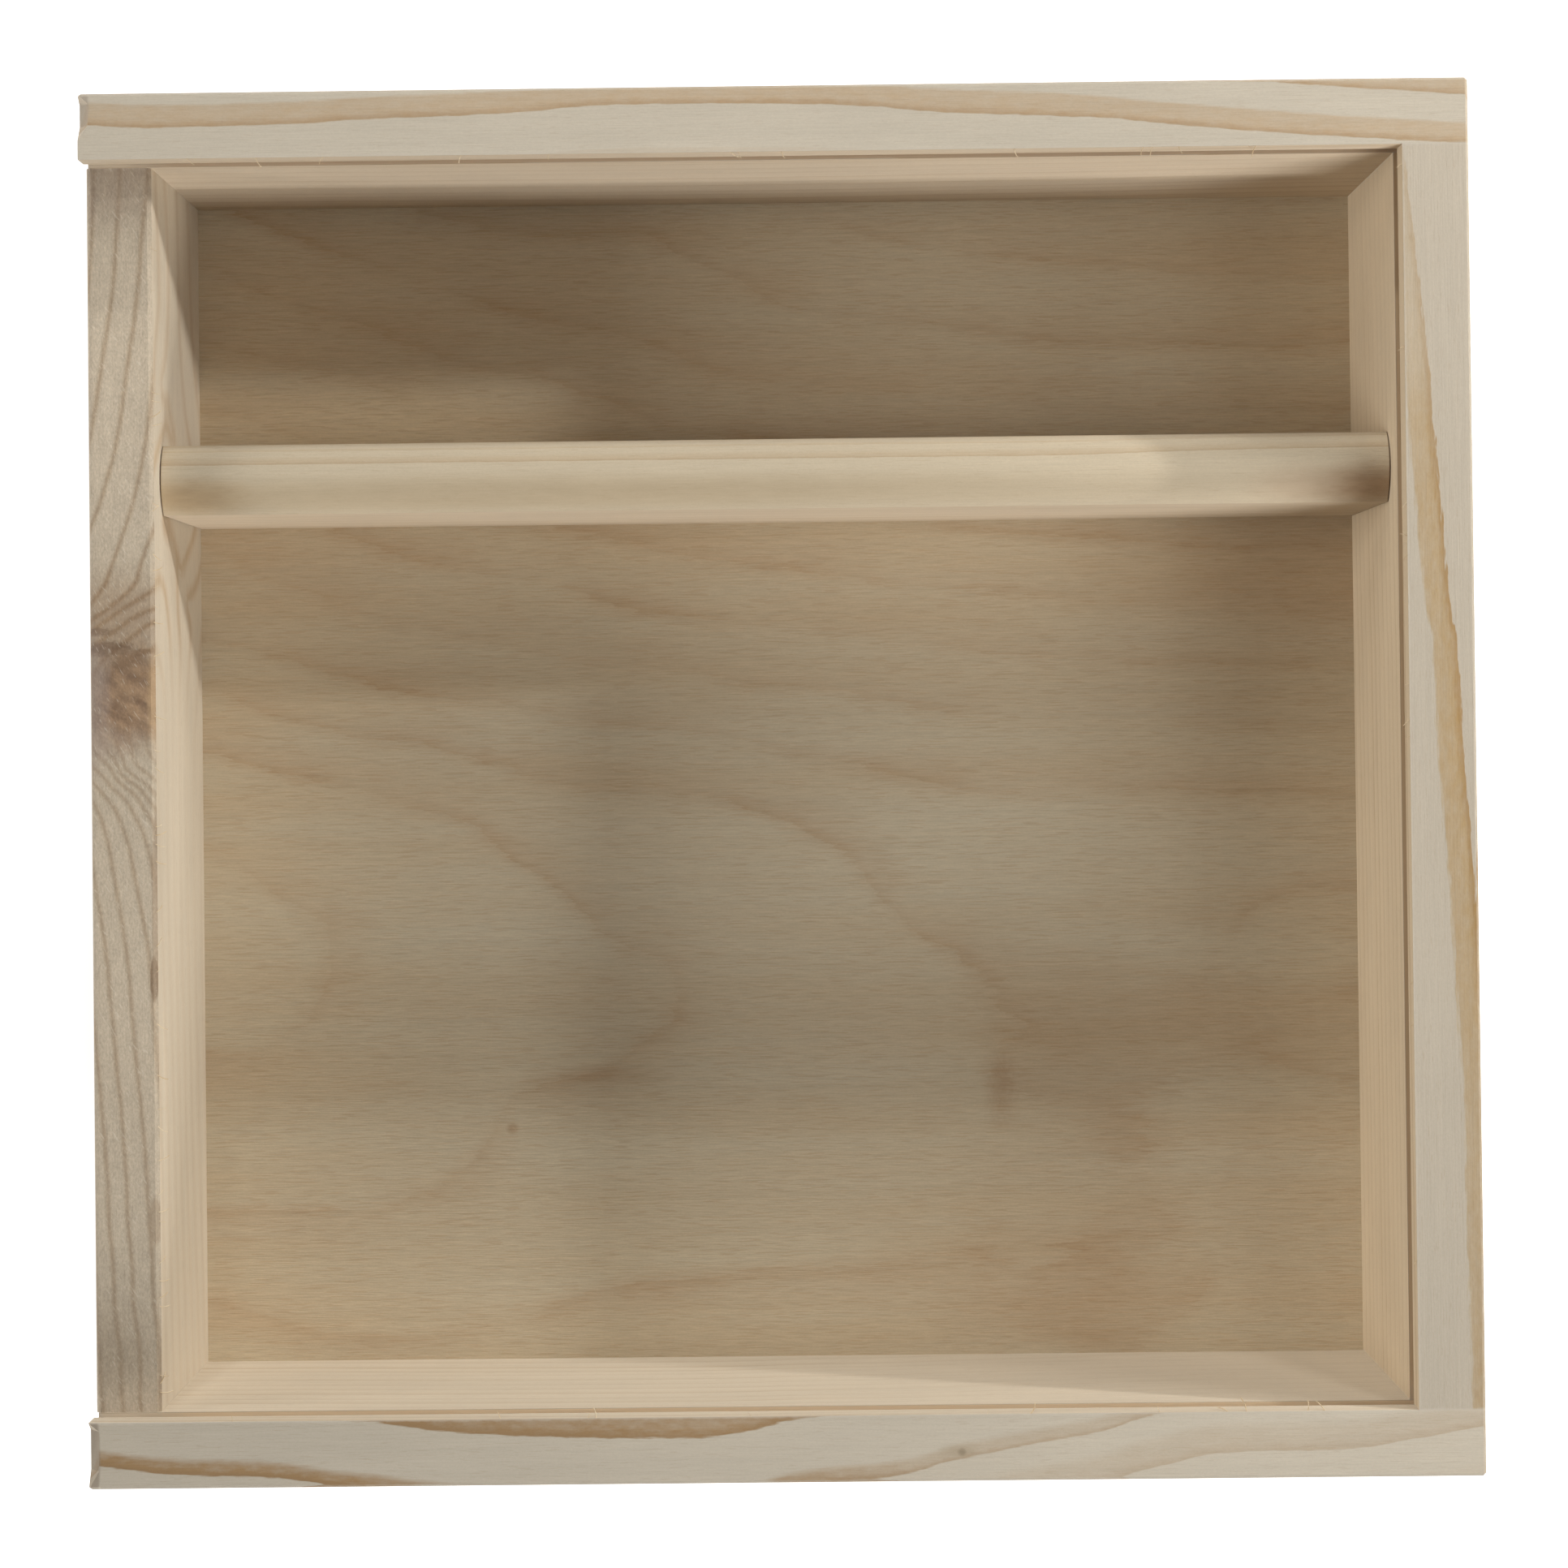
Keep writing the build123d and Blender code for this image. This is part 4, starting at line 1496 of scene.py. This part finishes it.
@dataclass
class Brads:
    """The wire brads, whose heads lie flush in the boards."""

    effects: Effects

    def build(self) -> None:
        """Dress each group of brads."""
        steel = STEEL.material(self.effects)
        for name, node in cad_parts.items():
            if name.endswith("_brads"):
                dress(node, steel)


# ---------------------------------------------------------------------- studio


@dataclass(frozen=True)
class Lamp:
    """A round soft lamp that faces the box."""

    name: str
    azimuth: float  # degrees from +X towards +Y
    elevation: float  # degrees above the floor
    size: float  # metres across
    level: float  # 1 lights a facing white sheet to white
    distance: float = 1.5  # metres from the box

    def build(self) -> None:
        """Add the lamp."""
        data = bpy.data.lights.new(self.name, "AREA")
        data.shape = "DISK"
        data.size = self.size
        data.energy = self.level * (math.pi * self.distance) ** 2
        turn, lift = math.radians(self.azimuth), math.radians(self.elevation)
        towards = Vector((math.cos(turn) * math.cos(lift), math.sin(turn) * math.cos(lift),
                          math.sin(lift)))
        lamp = add_object(self.name, data)
        lamp.location = towards * self.distance
        lamp.rotation_euler = towards.to_track_quat("Z", "Y").to_euler()


@dataclass
class Studio:
    """The floor, the lamps and the camera."""

    image_size: int = 1932  # pixels, both ways
    focal_length: float = 3640.0  # pixels
    aim: Point = (954.08, 867.86)  # the pixel that the lens points at
    place: Place = (1.9, 6.7, 489.87)
    tilt: Place = (0.01129, 0.00511, -0.01122)  # radians
    sensor: float = 36.0
    half_floor: float = 3.0  # metres
    world_level: float = 0.018  # how far the world fills in the shadows
    lamps: tuple[Lamp, ...] = (
        Lamp("left", 180, 20, 0.45, 0.51),
        Lamp("right_key", 19.5, 18.6, 0.022, 0.49, 0.63),
        Lamp("front_right_high", 296, 24, 0.5, 0.286),
        Lamp("front_low", 280, 17, 0.15, 0.27),
        Lamp("back_right_low", 45, 20, 0.3, 0.197),
        Lamp("back_key", 90, 18.0, 0.045, 0.18),
        Lamp("back_left_key", 96, 18.0, 0.045, 0.13),
        Lamp("back_right_key", 80, 15.5, 0.08, 0.128),
        Lamp("front_right_soft", 300, 28, 0.35, 0.164),
        Lamp("right_high", 0, 38, 0.4, 0.086),
        Lamp("back_high", 90, 36, 0.4, 0.086),
        Lamp("back_left_soft", 150, 21, 0.4, 0.075),
        Lamp("overhead", 350, 58, 0.5, 0.07),
        Lamp("front_left_soft", 210, 21, 0.4, 0.066),
    )

    def build(self) -> None:
        """Set up the whole studio."""
        self.build_floor()
        for lamp in self.lamps:
            lamp.build()
        self.build_camera()
        self.build_world()
        bpy.context.scene.view_settings.view_transform = "Standard"

    def build_floor(self) -> None:
        """Lay a white floor, which the camera sees as paper white outside the shadow."""
        half = self.half_floor
        mesh = bpy.data.meshes.new("studio_floor")
        corners = [(-half, -half, 0), (half, -half, 0), (half, half, 0), (-half, half, 0)]
        mesh.from_pydata(corners, [], [(0, 1, 2, 3)])
        floor = add_object("studio_floor", mesh)
        coat = Coat("studio_white")
        rays = coat.add("ShaderNodeLightPath").outputs
        seen = coat.math("MAXIMUM", rays["Is Camera Ray"], rays["Is Glossy Ray"])
        seen = coat.math("MAXIMUM", seen, rays["Is Transmission Ray"])
        mesh.materials.append(coat.finish({
            "Base Color": (0.8, 0.8, 0.8), "Roughness": 1.0, "Specular IOR Level": 0.0,
            "Emission Color": (1.0, 1.0, 1.0),
            "Emission Strength": coat.math("MULTIPLY", seen, 0.85)}))

    def build_camera(self) -> None:
        """Hang the camera over the box, looking down."""
        data = bpy.data.cameras.new("camera")
        data.sensor_width = self.sensor
        data.lens = self.sensor * self.focal_length / self.image_size
        data.shift_x = (self.image_size / 2 - self.aim[0]) / self.image_size
        data.shift_y = (self.aim[1] - self.image_size / 2) / self.image_size
        camera = add_object("camera", data)
        camera.location = Vector(self.place) * MM
        camera.rotation_mode = "ZYX"
        camera.rotation_euler = self.tilt
        bpy.context.scene.camera = camera

    def build_world(self) -> None:
        """Fill in the shadows a little, behind a white sky."""
        world = bpy.data.worlds.new("studio")
        world.use_nodes = True
        bpy.context.scene.world = world
        graph = Graph(world.node_tree)
        seen = graph.add("ShaderNodeLightPath").outputs["Is Camera Ray"]
        strength = graph.remap(seen, 0.0, 1.0, self.world_level, 1.0)
        background = world.node_tree.nodes["Background"]
        graph.feed(background.inputs["Color"], (1.0, 1.0, 1.0))
        graph.feed(background.inputs["Strength"], strength)


def main() -> None:
    """Build the looks and report each piece."""
    logging.basicConfig(level=logging.INFO, format="%(name)s: %(message)s")
    effects = Effects()
    Carcass(effects).build()
    VeneeredPanel(effects, "floor_panel", "box", "plywood", FigureField(FLOOR_LINES),
                  seed=3.0, marks=FLOOR_SPOTS_AND_PAINTED_SHADING).build()
    VeneeredPanel(effects, "lid", "lid", "plywood", Flames(), seed=8.0).build()
    TornFibres(effects).build()
    Brads(effects).build()
    Studio().build()


if __name__ == "__main__":
    main()
